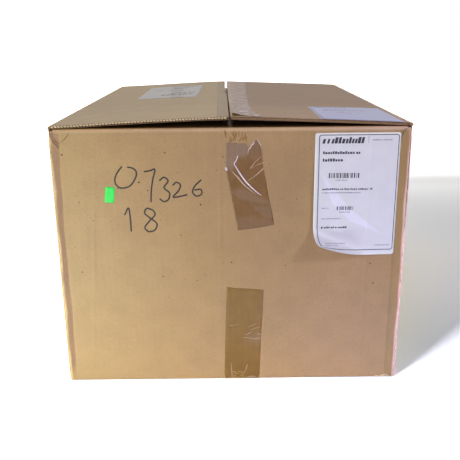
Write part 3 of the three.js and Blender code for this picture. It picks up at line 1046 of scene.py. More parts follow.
def patchPart(outline, place, step, low=0.02, high=0.12):
    # a closed sheet of that outline; place turns (across, up, lift) into points of the carton
    points, faces = filled(outline, step)
    count = len(points)
    top = place(points[:, 0], points[:, 1], high)
    under = place(points[:, 0], points[:, 1], low)
    pairs = {(int(face[i]), int(face[(i + 1) % 3])) for face in faces for i in range(3)}
    rim = np.array([pair for pair in pairs if pair[::-1] not in pairs])
    i, j = rim.T
    sides = [np.stack([j, i, i + count], -1), np.stack([j, i + count, j + count], -1)]
    everything = np.concatenate([faces, faces[:, ::-1] + count, *sides])
    a, b, c = (top[faces[:, k]] for k in range(3))
    if (np.cross(b - a, c - a) * (top - under)[faces[:, 0]]).sum() < 0:
        everything = everything[:, ::-1]
    return np.concatenate([top, under]), everything, 0


def sheetOf(name, outline, place, step, material, low=0.02, high=0.12):
    return pieceFrom(name, [patchPart(outline, place, step, low, high)], [material], weld=0.001)


def stroke(line, width):
    # outline of a stroke along a line; width may differ from point to point
    line = np.asarray(line, float)
    ways = unit(np.gradient(line, axis=0))
    half = np.broadcast_to(np.asarray(width, float) / 2, len(line))[:, None]
    sides = np.stack([-ways[:, 1], ways[:, 0]], -1) * half
    return np.concatenate([line + sides, [line[-1] + ways[-1] * half[-1]],
                           (line - sides)[::-1], [line[0] - ways[0] * half[0]]])


curveSteps = 6


def curved(points):
    # a smooth line through the points
    points = np.asarray(points, float)
    padded = np.concatenate([[2 * points[0] - points[1]], points, [2 * points[-1] - points[-2]]])
    t = np.linspace(0, 1, curveSteps, endpoint=False)[:, None]
    made = []
    for a, b, c, d in zip(padded, padded[1:], padded[2:], padded[3:]):
        made.append(0.5 * (2 * b + (c - a) * t + (2 * a - 5 * b + 4 * c - d) * t ** 2
                           + (3 * b - a - 3 * c + d) * t ** 3))
    return np.concatenate([*made, [points[-1]]])


def roundedBox(left, bottom, right, top, radius):
    middle = (left + right) / 2
    corners = [(middle, bottom), (right, bottom), (right, top), (left, top), (left, bottom), (middle, bottom)]
    return roundedLine(corners, [radius] * 4)[:-1]


def bar(left, bottom, right, top):
    return [(left, bottom), (right, bottom), (right, top), (left, top)]


def onFront(x, z, lift):
    x, z, lift = spread(x, z, lift)
    return np.stack([x, -halfDepth - frontFace(x, z) - lift, z], -1)


def onBack(x, z, lift):
    x, z, lift = spread(x, z, lift)
    return np.stack([x, halfDepth - panelRelief(-x, z) + lift, z], -1)


def onFlap(side):
    def place(x, y, lift):
        return flapPoint(side, (halfWidth - side * np.asarray(x)) / math.cos(flapRaise(side)), y, lift)

    return place


strip = {
    "radius": 2.5,  # where it bends round the foot of a short wall
    "frontTop": 132.4,
    "backTop": 115.0,
}


def onStrip(x, along, lift):
    # along runs down the front from 0 at the bottom of the front leg, under the box and up the back
    x, along, lift = spread(x, along, lift)
    radius, arc = strip["radius"], strip["radius"] * math.pi / 2
    length = 2 * (halfDepth - radius)
    mirrored = along > arc + length / 2
    s = np.where(mirrored, 2 * arc + length - along, along)
    turn = np.clip(s, 0, arc) / radius
    depth = radius - (radius + lift) * np.cos(turn) + np.clip(s - arc, 0, None)
    z = radius - np.clip(s, None, 0) - (radius - board["tapeRoom"] + lift) * np.sin(turn)
    relief = np.where(mirrored, -panelRelief(-x, z), frontFace(x, z)) * (s < 0)
    return np.stack([x, np.where(mirrored, 1, -1) * (halfDepth - depth + relief), z], -1)


def insideShape(points, outline):
    # distance from each 2-D point to the outline: positive inside it, negative outside
    away, _ = distanceToLine(points, [*outline, outline[0]])
    x, y = np.asarray(points).T
    inside = np.zeros(len(x), bool)
    for (x0, y0), (x1, y1) in zip(outline, [*outline[1:], outline[0]]):
        crosses = (y0 > y) != (y1 > y)
        inside ^= crosses & (x < (x1 - x0) * (y - y0) / (y1 - y0 + 1e-12) + x0)
    return np.where(inside, away, -away)


def hazed(piece, shapes):
    # shapes are (outline, softness, strength): where the film has let go, it looks frosted
    points = coordinates(piece)
    mottle = 2.4 * noiseAt(points, 7, 3) + 1.6 * noiseAt(points, 2.5, 4)
    haze = np.zeros(len(points))
    for outline, softness, strength in shapes:
        depth = insideShape(points[:, [0, 2]], outline) + mottle
        haze = np.maximum(haze, strength * smoothStep(depth, -softness / 2, softness / 2))
    return masked(piece, haze, "haze")


def ridges(name, lines, place, material, low=0.1):
    # creases that stand up from a film, as (points, width, height)
    return pieceFrom(name, [patchPart(stroke(curved(line), width), place, 1.0, low, low + height)
                            for line, width, height in lines], [material], weld=0.0005)


# Film that is creased white: polypropylene stretched until it is full of small voids, so it is milky. Its
# white and cream creases are also painted highlights, as creases catch the light.
glint = ink("creasedFilmGlint", "#efe4ee", 0.3)
paleCrease = ink("creasedFilm", "#bda58a", 0.4)
goldenFlake = ink("rubbedFilm", "#b08a48", 0.45)

# Where the front end of the top tape was torn off the flaps, and what is left of it
tab = {
    "outline": [(8.0, 208.2), (26.9, 210.2), (53.1, 214.7), (51.3, 227.4), (45.5, 253.7), (39.8, 287.3),
                (37.0, 310.8),
                (36.4, 314.0), (31.6, 321.6), (28.4, 319.0), (21.4, 310.9), (18.2, 316.9), (11, 316.2),
                (5.3, 317.6),
                (-5.4, 317.4), (-6.3, 285.5), (0.2, 249)],
    "haze": [
        ([(-8, 320), (19, 320), (21, 311), (20, 302), (9, 300), (5, 292), (1.5, 284), (-8, 288)], 6, 0.75),
        ([(20, 318), (34, 318), (36, 300), (28, 296), (22, 303)], 6, 0.3),
        ([(2, 257), (14, 263), (30, 252), (46, 246), (48, 240), (30, 243), (10, 248)], 3, 0.4),
        ([(24, 241), (50, 238), (54, 222), (40, 226), (30, 234)], 3, 0.35),
        ([(8, 224), (28, 227), (53, 218), (54, 209), (28, 207), (9, 205)], 3, 0.25),
    ],
    "lilac": [
        ([(8.5, 301.8), (6.8, 296.4), (4.1, 292), (6.8, 287.6)], 0.9, 0.5),
        ([(4.6, 290.5), (12.7, 277.6), (20.3, 267.5), (32.3, 256.1), (37, 252.8)],
         [0.7, 1.6, 1.3, 1.0, 0.3], 0.8),
        ([(28.4, 318.4), (26.6, 315.2), (25.2, 314.6), (23.4, 311), (21.4, 309), (20.6, 304)],
         [0.5, 0.9, 0.5, 0.8, 0.5, 0.3], 0.3),
        ([(31.6, 321.0), (34.3, 316.9), (36.0, 313.8), (36.6, 310.5)], [0.6, 0.6, 0.4, 0.2], 0.3),
        ([(-5.9, 287.2), (-4.9, 284.6)], 2.0, 1.0),
    ],
    "cream": [
        ([(1.4, 283), (9.4, 274.3), (15.9, 266.4), (24.7, 258.4), (31.3, 253.9)],
         [0.6, 2.0, 1.6, 1.1, 0.3], 0.6),
        ([(36.5, 300.4), (29, 293.4), (23.6, 286.3)], [0.3, 0.6, 0.9], 0.4),
        ([(39.3, 293.3), (31.1, 290.1), (25.7, 286.3)], [0.7, 0.5, 0.2], 0.3),
        ([(39.4, 286.1), (31.2, 278.5), (20.3, 270.8)], [1.1, 0.9, 0.3], 0.4),
    ],
}


def widened(lines):
    # spreads the widths given at the points of a line over its smooth curve
    made = []
    for line, width, height in lines:
        if isinstance(width, list):
            count = curveSteps * (len(line) - 1) + 1
            width = np.interp(np.linspace(0, len(line) - 1, count), range(len(line)), width)
        made.append((line, width, height))
    return made


tapeTab = sheetOf("frontTapeTab", tab["outline"], onFront, 1.6, filmTab)
masked(hazed(tapeTab, tab["haze"]), 0.0, "crease")
tabGlints = ridges("tabGlints", widened(tab["lilac"]), onFront, glint)
tabCreases = ridges("tabCreases", widened(tab["cream"]), onFront, paleCrease)
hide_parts("front_tape_tab")

underside = 2 * (halfDepth - strip["radius"]) + math.pi * strip["radius"]
lowerLeg = strip["frontTop"] - strip["radius"]
backLeg = strip["backTop"] - strip["radius"]
stripOutline = [
    (-6.5, -lowerLeg), (-9.0, -60.0), (-10.6, -5), (-8.9, -1), (-9.5, 3), (-11.2, 280), (-11, underside),
    (-10.4, underside + backLeg), (4, underside + backLeg - 2.5), (21, underside + backLeg + 1),
    (37.4, underside + backLeg - 1.2), (37, underside), (36.6, 280), (34.8, 3), (34.6, -1.2), (36.1, -4.6),
    (37.7, -61), (39.4, -92.4), (40.7, 4.1 - lowerLeg), (20, 2.2 - lowerLeg), (4.8, 1.4 - lowerLeg),
    (-2, 0.2 - lowerLeg),
]
bottomTape = sheetOf("bottomSeamTape", stripOutline, onStrip, 3.0, filmStrip)
x, y, z = coordinates(bottomTape).T
worn = 0.3 * np.exp(-((z - 60) / 7) ** 2) * smoothStep(x, 12, 26) * (y < 0)
masked(bottomTape, np.where(z < 2, 0.3, worn), "haze")
masked(bottomTape, 0.0, "crease")
stripGlints = ridges("stripGlints", widened([
    ([(-2.2, 25.2), (-1.3, 15.3), (-0.5, 4.0)], [0.3, 0.8, 1.0], 0.2),
    ([(19.8, 21.6), (17.3, 12.9), (13.8, 5.2)], [0.9, 0.5, 0.3], 0.2),
    ([(14, 61.5), (19.5, 61.2), (23.7, 60.4), (31.4, 59.2), (38, 61.6)], [0.2, 0.5, 0.4, 0.8, 0.4], 0.1),
    ([(17.9, 65), (22.7, 67.8), (25, 69.5)], [0.3, 0.7, 0.2], 0.1),
    ([(20, 76), (26, 78.5), (31, 81.5)], [0.2, 0.4, 0.2], 0.1),
    ([(24, 72), (30, 74.4), (36, 76)], [0.2, 0.4, 0.2], 0.1),
    ([(-4, 80), (-1.5, 78.6), (2, 78.9), (9, 81)], [0.3, 0.5, 0.3, 0.2], 0.1),
    ([(33, 66), (36, 66.5), (38, 65)], [0.4, 0.9, 0.4], 0.1),
    ([(20, 3.4), (25, 4.2), (31, 3.4)], [0.3, 1.1, 0.4], 0.2),
]), onFront, paleCrease)
random = np.random.default_rng(12)
# where the film was rubbed on the ground it has let go in small golden flakes
flakes = [([(x, z), (x + random.uniform(-2, 2), z + random.uniform(-1.5, 1.5))],
           random.uniform(0.4, 1.0), 0.1)
          for x, z in zip(random.uniform(0.5, 14, 34), random.uniform(4, 12.5, 34))]
stripCreases = ridges("stripCreases", flakes, onFront, goldenFlake)
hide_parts("bottom_seam_tape")

backTop = boxHeight - board["foldRadius"]
backOutline = [(-19, backTop), (-18.6, backTop - 50), (-19.2, backTop - 94), (-6, backTop - 95.6),
               (11, backTop - 93.8),
               (28.8, backTop - 95.2), (29.2, backTop - 40), (29, backTop), (8, backTop - 1.2)]
backTab = sheetOf("backTapeTab", backOutline, onBack, 3.0, filmX)
masked(backTab, 0.0, "haze")
masked(backTab, 0.0, "crease")
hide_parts("back_tape_tab")

slitTape = {
    "leftEdge": [(-283, -16.4), (-267, -16), (-107, -17), (30, -18.2), (208, -20), (283, -21)],
    "rightEdge": [(-283, 33.4), (-276, 36.5), (-270, 33.8), (-263, 37.2), (-255, 31.6), (-249, 34.4),
                  (-241, 29.6),
                  (-233, 32.3), (-222, 28.2), (-214, 30.2), (-203, 27.2), (-180, 28.4), (-165, 26.2),
                  (-130, 26.8),
                  (-16, 27.6), (120, 30.6), (241, 34), (283, 34.6)],
    "tear": [(2.0, -258), (3.4, -266), (8.0, -274), (9.6, -283)],  # the front corner is torn back
}


def topTape(side, name):
    edge = [(x, y) for y, x in slitTape["leftEdge" if side < 0 else "rightEdge"]]
    along = spaced(-283 if side < 0 else -258, 283, 20.0)
    level = math.cos(flapRaise(side))
    seam = [(side * (halfWidth - flapEnd(side, y) * level + 0.3), y) for y in along[::-1]]
    tear = [] if side < 0 else slitTape["tear"]
    piece = sheetOf(name, [*edge, *seam, *tear], onFlap(side), 3.0, filmLeft if side < 0 else filmY)
    points = coordinates(piece)
    x, y, _ = points.T
    away = np.abs(x - (-1 if side < 0 else 1))
    haze = 0.75 - 0.5 * np.exp(-(away / 6) ** 2) + 0.3 * noiseAt(points, 60, side)
    masked(piece, np.clip(haze, 0, 1), "haze")
    # the right half is crumpled, most of all near its torn front; its crumples are painted white, as stress
    # marks and as glints
    wrinkleGlints = 0.5 * noiseAt(points * (1, 0.5, 1), 6, 7) + 0.35 * noiseAt(points, 15, 8)
    wrinkleGlints = np.clip(wrinkleGlints + 0.02, 0, 0.3) * (0.5 + smoothStep(-y, 60, 250)) * (side > 0)
    return masked(piece, wrinkleGlints, "crease")


leftTape = topTape(-1, "topTapeLeft")
rightTape = topTape(1, "topTapeRight")
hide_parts("top_tape_left_half")
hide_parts("top_tape_right_half")
print("taped")


# ---- labels, sticker and pen marks

paper = labelPaper("labelPaper")
greenPaper = labelPaper("greenStickerPaper", "#40e95e", 0.5)
thermalInk = ink("thermalInk", "#3a3746", 0.5)
paleInk = ink("paleThermalInk", "#8f8ca0", 0.5)
penInk = ink("feltPenInk", "#2e2926", 0.55)

shipping = {
    "left": 101.0,
    "bottom": 174.8,
    "width": 102.4,
    "height": 153.4,
    "radius": 3.0,
    "thickness": 0.15,
    "glue": 0.03,
    "peelWidth": 30.0,  # the left edge has come loose, and the lower left corner curls
    "peelLift": 4.0,
    "curlReach": 40.0,
    "curlRadius": 20.0,
    "curlLean": 68.0,
}


def onLabel(x, z, front):
    # x and z are where the place would be if the label lay flat on the wall
    x, z, front = spread(x, z, front)
    across, up = x - shipping["left"], z - shipping["bottom"]
    lean, roll = math.radians(shipping["curlLean"]), shipping["curlRadius"]
    towardsX, towardsZ = -math.cos(lean), -math.sin(lean)
    loose = np.clip(1 - across / shipping["peelWidth"], 0, 1) ** 2 * (1 - up / shipping["height"])
    past = np.clip(shipping["curlReach"] + across * towardsX + up * towardsZ, 0, None)
    turn = past / roll
    along = roll * np.sin(turn) - past - front * np.sin(turn)
    lift = roll * (1 - np.cos(turn)) + front * np.cos(turn) + shipping["peelLift"] * loose
    return onFront(x + along * towardsX, z + along * towardsZ, lift)


labelBox = (shipping["left"], shipping["bottom"],
            shipping["left"] + shipping["width"], shipping["bottom"] + shipping["height"])
frontLabel = sheetOf("frontLabel", roundedBox(*labelBox, shipping["radius"]), onLabel, 1.5, paper,
                     shipping["glue"], shipping["glue"] + shipping["thickness"])
# a blister in the paper runs down from the left edge, painted lighter and bluer as a highlight
blister = [(106, 286), (115.7, 272.5), (129.4, 256), (141.4, 240), (157.5, 225.5), (188, 200.7), (168, 209),
           (146, 219.2), (125, 240.8), (116, 261.3), (112, 275.6)]
blisterHighlight = smoothStep(insideShape(coordinates(frontLabel)[:, [0, 2]], blister), -0.8, 0.8)[:, None]
x, _, z = coordinates(frontLabel).T
inside = np.minimum.reduce([x - labelBox[0], labelBox[2] - x, z - labelBox[1], labelBox[3] - z])
# the margin outside the frame line is a little lighter and less blue
margin = smoothStep(3.6 - inside, 0, 1.2)[:, None]
blisterHighlightTone, marginLighter = np.array([0.09, 0.08, 0.15]), np.array([0.13, 0.13, 0.04])
tinted(frontLabel, (0.97 + blisterHighlight * blisterHighlightTone) * (1 + margin * marginLighter))
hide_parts("front_label")


def printed(name, outlines, place, level, step=3.0, colour=thermalInk):
    # flat marks a hair above a face
    return pieceFrom(name, [patchPart(outline, place, step, level, level + 0.015) for outline in outlines],
                     [colour], weld=0.0005)


def frameLine(left, bottom, right, top, radius, width):
    # a thin border with round corners, as two strokes that meet at the middle of its long sides
    middle = (bottom + top) / 2
    halves = ([(left, middle), (left, bottom), (right, bottom), (right, middle)],
              [(right, middle), (right, top), (left, top), (left, middle)])
    return [stroke(withStops(roundedLine(half, [radius] * 2), 8), width) for half in halves]


def bars(left, bottom, right, top, count, seed):
    # upright bars of uneven width, as on a plain barcode
    random = np.random.default_rng(seed)
    steps = np.cumsum(random.choice([1.0, 1.0, 1.6, 2.4], 2 * count))
    stops = left + (right - left) * (steps - steps[0]) / (steps[-1] - steps[0])
    return [bar(a, bottom, b, top) for a, b in zip(stops[::2], stops[1::2])]


def rowOf(left, bottom, right, top, pitch, seed, lean=0.0):
    # a row of plain blocks in groups, standing in for a line of print
    random = np.random.default_rng(seed)
    blocks, x = [], left
    while x < right - 0.5 * pitch:
        width = pitch * random.uniform(0.5, 0.85)
        high = top - (top - bottom) * random.choice([0.0, 0.25, 0.25])
        end = min(x + width, right)
        blocks.append([(x, bottom), (end, bottom), (end + lean, high), (x + lean, high)])
        x += width + pitch * random.choice([0.2, 0.2, 0.2, 0.2, 0.55])
    return blocks


labelFace = shipping["glue"] + shipping["thickness"] + 0.01
labelMarks = printed("frontLabelMarks", [
    *frameLine(106.2, 181.4, 201.2, 325.6, 2.6, 0.95),
    *rowOf(109.5, 315.4, 160.5, 322.8, 4.6, 1, 1.4),
    *rowOf(110.8, 302.6, 157, 306.0, 3.4, 2), *rowOf(110.8, 293.6, 136, 297.2, 3.6, 3),
    *rowOf(111.2, 258.4, 173.4, 260.6, 2.4, 4), *rowOf(111.2, 209.6, 143, 212.0, 2.5, 5),
    *bars(118.8, 273.2, 155.6, 279.4, 17, 4), *bars(130, 232.8, 150, 237.6, 10, 9),
], onLabel, labelFace)
labelLines = printed("frontLabelLines", [
    bar(164.8, 316, 165.3, 324.4), *rowOf(169.5, 318.7, 193, 320.2, 2.0, 6),
    *rowOf(127, 270.0, 142, 271.4, 1.9, 7),
    *rowOf(111.6, 254.2, 159, 255.6, 1.9, 8), *rowOf(111.2, 235.0, 120.4, 236.3, 1.7, 9),
    *rowOf(133, 229.7, 147.4, 231.0, 1.9, 10), *rowOf(111.2, 221.4, 136.2, 222.7, 1.8, 11),
    *rowOf(113.6, 189.6, 141.6, 190.8, 1.5, 12), *rowOf(113.6, 186.2, 132.4, 187.3, 1.5, 13),
    *rowOf(179, 186.7, 197.2, 187.9, 1.6, 14),
], onLabel, labelFace, colour=paleInk)

# plain figures written with a felt pen, each as lines through a few points
penLines = [
    [(-131.4, 290), (-138.5, 280.3), (-140.5, 271), (-136.4, 264.8), (-130.3, 263.7), (-122.1, 266.7),
     (-115.5, 275.9),
     (-114.1, 283.1), (-117.9, 287.8), (-124.4, 289.4)],
    [(-112.4, 270.6), (-111.2, 270.4)],
    [(-104.4, 283.6), (-98, 284.6), (-91.6, 286), (-94.6, 274), (-97, 260), (-98, 246)],
    [(-86.4, 272.6), (-81, 276.4), (-76.2, 271.6), (-81.4, 263.6), (-75, 257), (-76.4, 249), (-82, 246),
     (-87, 249.4)],
    [(-70.6, 266.4), (-66, 270), (-61.4, 266.4), (-64, 259.4), (-70.8, 251.6), (-62, 252.4), (-53.6, 254.4)],
    [(-36.4, 272.4), (-43.6, 265.4), (-46.8, 257.4), (-42, 252.6), (-36, 255), (-36.6, 260.8),
     (-43.8, 260.2)],
    [(-131.2, 229.8), (-126, 238.4), (-124.4, 225), (-124.2, 208.6)],
    [(-96.4, 235.6), (-103.6, 237.6), (-106.4, 231.4), (-99.4, 224.8), (-92, 217.8), (-95, 209.6),
     (-102, 207.4)],
    [(-103, 207.6), (-107, 213), (-101.4, 221), (-94, 229.2), (-95.6, 234.8)],
]
penWidth = 1.9
penParts = [patchPart(stroke(curved(line), penWidth), onFront, 1.5, 0.01, 0.04) for line in penLines]
penMarks = pieceFrom("penFigures", penParts, [penInk], weld=0.0005)

leftLabelPoints = [(-51, -26), (-47.4, 200), (-143.9, 195.4), (-145.6, -13)]
leftFlapPaper = sheetOf("leftFlapLabel", leftLabelPoints, onFlap(-1), 5.0, paper, 0.02, 0.17)
rightLabelPoints = [(107.6, -284.9), (206.6, -284.9), (206.2, -143.5), (107.6, -151)]
rightFlapPaper = sheetOf("rightFlapLabel", rightLabelPoints, onFlap(1), 4.0, paper, 0.02, 0.17)
# painted shade: the right flap's label is darker and bluer, as the light falls on that flap
tinted(rightFlapPaper, (0.47, 0.475, 0.665))
# a darker field is printed across the middle of the left one
x, y, _ = coordinates(leftFlapPaper).T
field = smoothStep(x + 0.05 * y, -96, -93) * smoothStep(-x - 0.05 * y, 73, 76)
tinted(leftFlapPaper, (1 - 0.32 * field)[:, None] * np.array([0.42, 0.4032, 0.336]))
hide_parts("left_flap_label")
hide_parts("right_flap_label")

stickerCorners = [(-152.3, 265.8), (-154.8, 246.1), (-143.4, 244.6), (-140.9, 264.6)]
sticker = sheetOf("greenSticker", stickerCorners, onFront, 3.0, greenPaper, 0.02, 0.15)
tinted(sticker, 1.0)
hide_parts("green_sticker")
print("labels stuck on")


# ---- print on the flap labels

def flapPrint(name, side, outlines, colour):
    return printed(name, outlines, onFlap(side), 0.18, 4.0, colour)


fadedInk = ink("fadedInk", "#3c3a39", 0.7)
lilacInk = ink("lilacInk", "#2c2940", 0.7)
leftFlapMarks = flapPrint("leftFlapLabelMarks", -1, [
    *rowOf(-112, 30, -58, 44, 9.0, 21), *rowOf(-97, 60, -58, 68, 7.0, 22),
    *rowOf(-98, 150, -72, 158, 6.0, 23),
    *rowOf(-84, 174, -56, 180, 6.0, 24), *rowOf(-127, 120, -116, 127, 5.0, 25),
    *rowOf(-108, 116, -99, 122, 4.0, 26),
], fadedInk)
rightFlapMarks = flapPrint("rightFlapLabelMarks", 1, [
    *[stroke(withStops([np.array(p, float) for p in line], 12), 0.8) for line in (
        [(111, -281), (111, -156), (160, -154)], [(111, -281), (203, -281)])],
    *rowOf(114, -161, 162, -157, 5.0, 31), *rowOf(124, -186, 180, -182.5, 3.0, 32),
    *rowOf(122, -196, 150, -193, 3.0, 33), *rowOf(138, -218, 158, -214.5, 3.0, 34),
], lilacInk)


# ---- wear: torn liner, specks, the curled lip at the front left corner and painted crease shadows

torn = ink("tornLiner", "#e2cc9f", 0.8)
darkFibre = ink("darkFibre", "#96733f", 0.8)
speckInk = ink("speck", "#4a3626", 0.7)
# painted shadow, laid in creases and between the teeth of the cut edge
creaseShade = ink("creaseShadow", "#5a402b", 0.8)

curl = [(-213.9, 333.2), (-213.2, 327.2), (-210.7, 321.2), (-206.8, 317.0), (-205.2, 312.8)]
curlCrest = [(x + 1.1, z + 0.4) for x, z in curl]
curledLiner = ridges("curledLiner", widened([(curlCrest, [0.7, 1.1, 1.1, 1.0, 0.4], 0.9)]), onFront,
                     ink("curledLiner", "#c09c74", 0.8))
random = np.random.default_rng(5)
fibres = [([(x, z), (x + random.uniform(-1.5, 2.0), z + random.uniform(3, 8))],
           random.uniform(0.8, 1.6), 0.02)
          for x, z in zip(random.uniform(-7, 19, 20), random.uniform(318, 327, 20))]
frontCreaseShadows = ridges("frontCreaseShadows", [
    *widened([(curl, [0.9, 1.3, 1.5, 1.4, 0.5], 0.1)]),
    *widened([([(209.4, 332.6), (207.2, 331.4), (207.6, 329.6), (205.2, 328.6), (205.8, 326.4),
                (204.6, 325), (204.2, 319.4)],
              [1.0, 0.6, 1.0, 0.6, 1.0, 0.6, 0.3], 0.1)]),
    *widened([([(-191.4, 331.4), (-196, 325), (-203.7, 318.9)], [0.3, 0.8, 0.3], 0.02)]),
], onFront, creaseShade)
tornFibres = ridges("tornFibres", fibres, onFront, darkFibre, 0.02)
paleTears = ridges("paleTears", widened([
    ([(190, 3.6), (196, 2.2), (203, 4.2), (210, 1.6)], [0.6, 1.6, 2.0, 0.8], 0.4),
]), onFront, torn)


def spotTree():
    # a flat round fleck on each point of the mesh that it is given, each of its own size
    tree = bpy.data.node_groups.new("flecks", "GeometryNodeTree")
    groupInput(tree, "Geometry", "NodeSocketGeometry")
    ids = {name: groupInput(tree, name, "NodeSocketFloat", 0.001) for name in ("Smallest", "Largest")}
    tree.interface.new_socket(name="Geometry", in_out="OUTPUT", socket_type="NodeSocketGeometry")
    inputs = addNode(tree, "NodeGroupInput").outputs
    spot = addNode(tree, "GeometryNodeMeshUVSphere", {"Segments": 8, "Rings": 4, "Radius": 1.0})
    size = addNode(tree, "FunctionNodeRandomValue", {2: inputs["Smallest"], 3: inputs["Largest"], "Seed": 7})
    flat = addNode(tree, "ShaderNodeCombineXYZ", {0: size.outputs[1], 1: 0.00005, 2: size.outputs[1]})
    copies = addNode(tree, "GeometryNodeInstanceOnPoints", {
        "Points": inputs["Geometry"], "Instance": spot.outputs["Mesh"], "Scale": flat.outputs[0]})
    real = addNode(tree, "GeometryNodeRealizeInstances", {"Geometry": copies.outputs[0]})
    painted = addNode(tree, "GeometryNodeSetMaterial", {"Geometry": real.outputs[0], "Material": speckInk})
    addNode(tree, "NodeGroupOutput", {0: painted.outputs[0]})
    return tree, ids


spots, spotIds = spotTree()


def pointMesh(points):
    mesh = bpy.data.meshes.new("points")
    mesh.from_pydata((np.asarray(points) / 1000).tolist(), [], [])
    return mesh


def meshParts(mesh):
    # a part for each kind of face, by its number of corners
    corners = [list(polygon.vertices) for polygon in mesh.polygons]
    return [(meshPoints(mesh), np.array([face for face in corners if len(face) == count]), 0)
            for count in sorted({len(face) for face in corners})]


def flecks(points, smallest, largest):
    # sizes in millimetres
    sizes = {spotIds["Smallest"]: smallest / 1000, spotIds["Largest"]: largest / 1000}
    return meshParts(grown(spots, sizes, pointMesh(points)))


# dirt on the front wall: the larger specks stand where they do on this carton, the small ones anywhere
specks = [(-79, 306.4), (-9.2, 300.7), (-6.9, 294), (-16.9, 284.7), (-37.5, 241.7), (-62.3, 202.2),
          (-137.3, 263),
          (-101.6, 260.2), (-64.3, 282.1), (-202, 305), (-186, 246), (-189, 155), (-87, 148),
          (-44, 142), (0, 166),
          (175, 163), (180, 136), (68, 161)]
larger = flecks(onFront(*np.array(specks).T, 0.02), 0.6, 1.1)
random = np.random.default_rng(3)
smaller = flecks(onFront(random.uniform(-208, 200, 90), random.uniform(6, 330, 90), 0.02), 0.2, 0.6)
frontSpecks = pieceFrom("frontSpecks", larger + smaller, [speckInk], weld=0.00001)

# ---- front edges of the flaps: the left one was cut with a toothed knife, the right one has torn by the seam

teeth = {
    "pitch": 3.8,
    "from": -212,
    "to": -4,
    "front": -flap["halfLength"] - 0.35,
}
x = np.arange(teeth["from"], teeth["to"], teeth["pitch"])


def onFlapFront(x, down, lift):
    # across the front edge of the left flap, down from its top face and out from the edge
    return flapPoint(-1, halfWidth + np.asarray(x), teeth["front"] - lift, down)


teethTops = ridges("leftFlapTeeth", [
    ([(a, -1.1 - 0.4 * math.sin(a)), (a + 1.8, -1.7 + 0.4 * math.sin(1.7 * a))], 1.6, 0.3) for a in x
], onFlapFront, torn)
teethGaps = ridges("leftFlapToothGaps", [
    ([(a + 2.5, -1.4 - 0.5 * math.sin(2.3 * a)), (a + 3.2, -3.0 + 0.4 * math.sin(1.3 * a))], 1.0, 0.15)
    for a in x
], onFlapFront, creaseShade)
flapTear = printed("rightFlapTear", [
    [(2.6, -252), (6, -256), (10, -265), (14, -275), (24, -281), (38, -284.1), (20, -284.4), (2.4, -284.2)]],
    onFlap(1), 0.5, 3.0, ink("tornFlap", "#6e5530", 0.9, 1.01))
flapTearEdge = ridges("rightFlapTearEdge", widened([
    ([(2.2, -284.6), (14, -284.4), (26, -284.3)], [1.2, 1.4, 0.4], 0.3)]), onFlap(1), torn, 0.2)
flapCrease = ridges("rightFlapCrease", widened([
    ([(10, -272.4), (21, -279.6), (34, -283.2), (70, -284.6)], [0.3, 0.9, 1.0, 0.3], 0.05)]), onFlap(1),
                    creaseShade, 0.2)
print("worn")


screen = {
    "reach": 214,
    "columns": 60,
    "inward": 5.5,  # from the front face of the carton
    "foot": 0.1,  # over the top of the front wall
    "lap": 0.6,  # into the flaps
    "seamLap": 3.5,
    "seamReach": 4,
}


def gapScreen():
    # an unseen card in the gap under the flaps, so that the low key light doesn't shine into the box
    low, high = [], []
    for x in np.linspace(-screen["reach"], screen["reach"], screen["columns"]):
        side = -1 if x < 0 else 1
        under = flapPoint(side, halfWidth - abs(x), teeth["front"], -board["thickness"])[2]
        lap = screen["seamLap"] if abs(x) < screen["seamReach"] else screen["lap"]
        low.append((x, screen["inward"] - halfDepth, boxHeight + screen["foot"]))
        high.append((x, screen["inward"] - halfDepth, under + lap))
    card = pieceFrom("gapScreen", [gridPart(np.array([low, high]))], [speckInk])
    card.visible_camera = False
    card.visible_diffuse = False
    card.visible_glossy = False
    card.visible_transmission = False


gapScreen()


# ---- camera, lights and floor

view = {
    "place": (-0.0053, -1.05134, 0.44474),  # m
    "yaw": -0.275,  # degrees, and so are the other angles
    "pitch": 17.14,
    "roll": -0.53,
    "lens": 50.47,  # mm, on a sensor 36 mm wide
}


def cameraAt(place, yaw, pitch, roll, lens):
    yaw, pitch, roll = (math.radians(a) for a in (yaw, pitch, roll))
    forward = Vector((-math.sin(yaw) * math.cos(pitch), math.cos(yaw) * math.cos(pitch), -math.sin(pitch)))
    flatRight = Vector((math.cos(yaw), math.sin(yaw), 0))
    flatUp = flatRight.cross(forward)
    right = flatRight * math.cos(roll) + flatUp * math.sin(roll)
    camera = bpy.data.cameras.new("camera")
    camera.lens = lens
    camera.sensor_width = 36
    holder = bpy.data.objects.new("camera", camera)
    bpy.context.scene.collection.objects.link(holder)
    holder.matrix_world = Matrix((right, right.cross(-forward) * -1, -forward)).transposed().to_4x4()
    holder.location = place
    bpy.context.scene.camera = holder


cameraAt(**view)


def lampHolder(name, lamp, towards):
    holder = bpy.data.objects.new(name, lamp)
    holder.rotation_euler = towards.to_track_quat("-Z", "Y").to_euler()
    bpy.context.scene.collection.objects.link(holder)
    return holder


def areaLamp(name, place, aim, size, watts, colour, spread=180):
    lamp = bpy.data.lights.new(name, "AREA")
    lamp.shape = "RECTANGLE"
    lamp.size, lamp.size_y = size
    lamp.energy = watts
    lamp.color = toLinear(colour)[:3]
    lamp.spread = math.radians(spread)
    holder = lampHolder(name, lamp, Vector(aim) - Vector(place))
    holder.location = place
    holder.visible_camera = False
    return holder


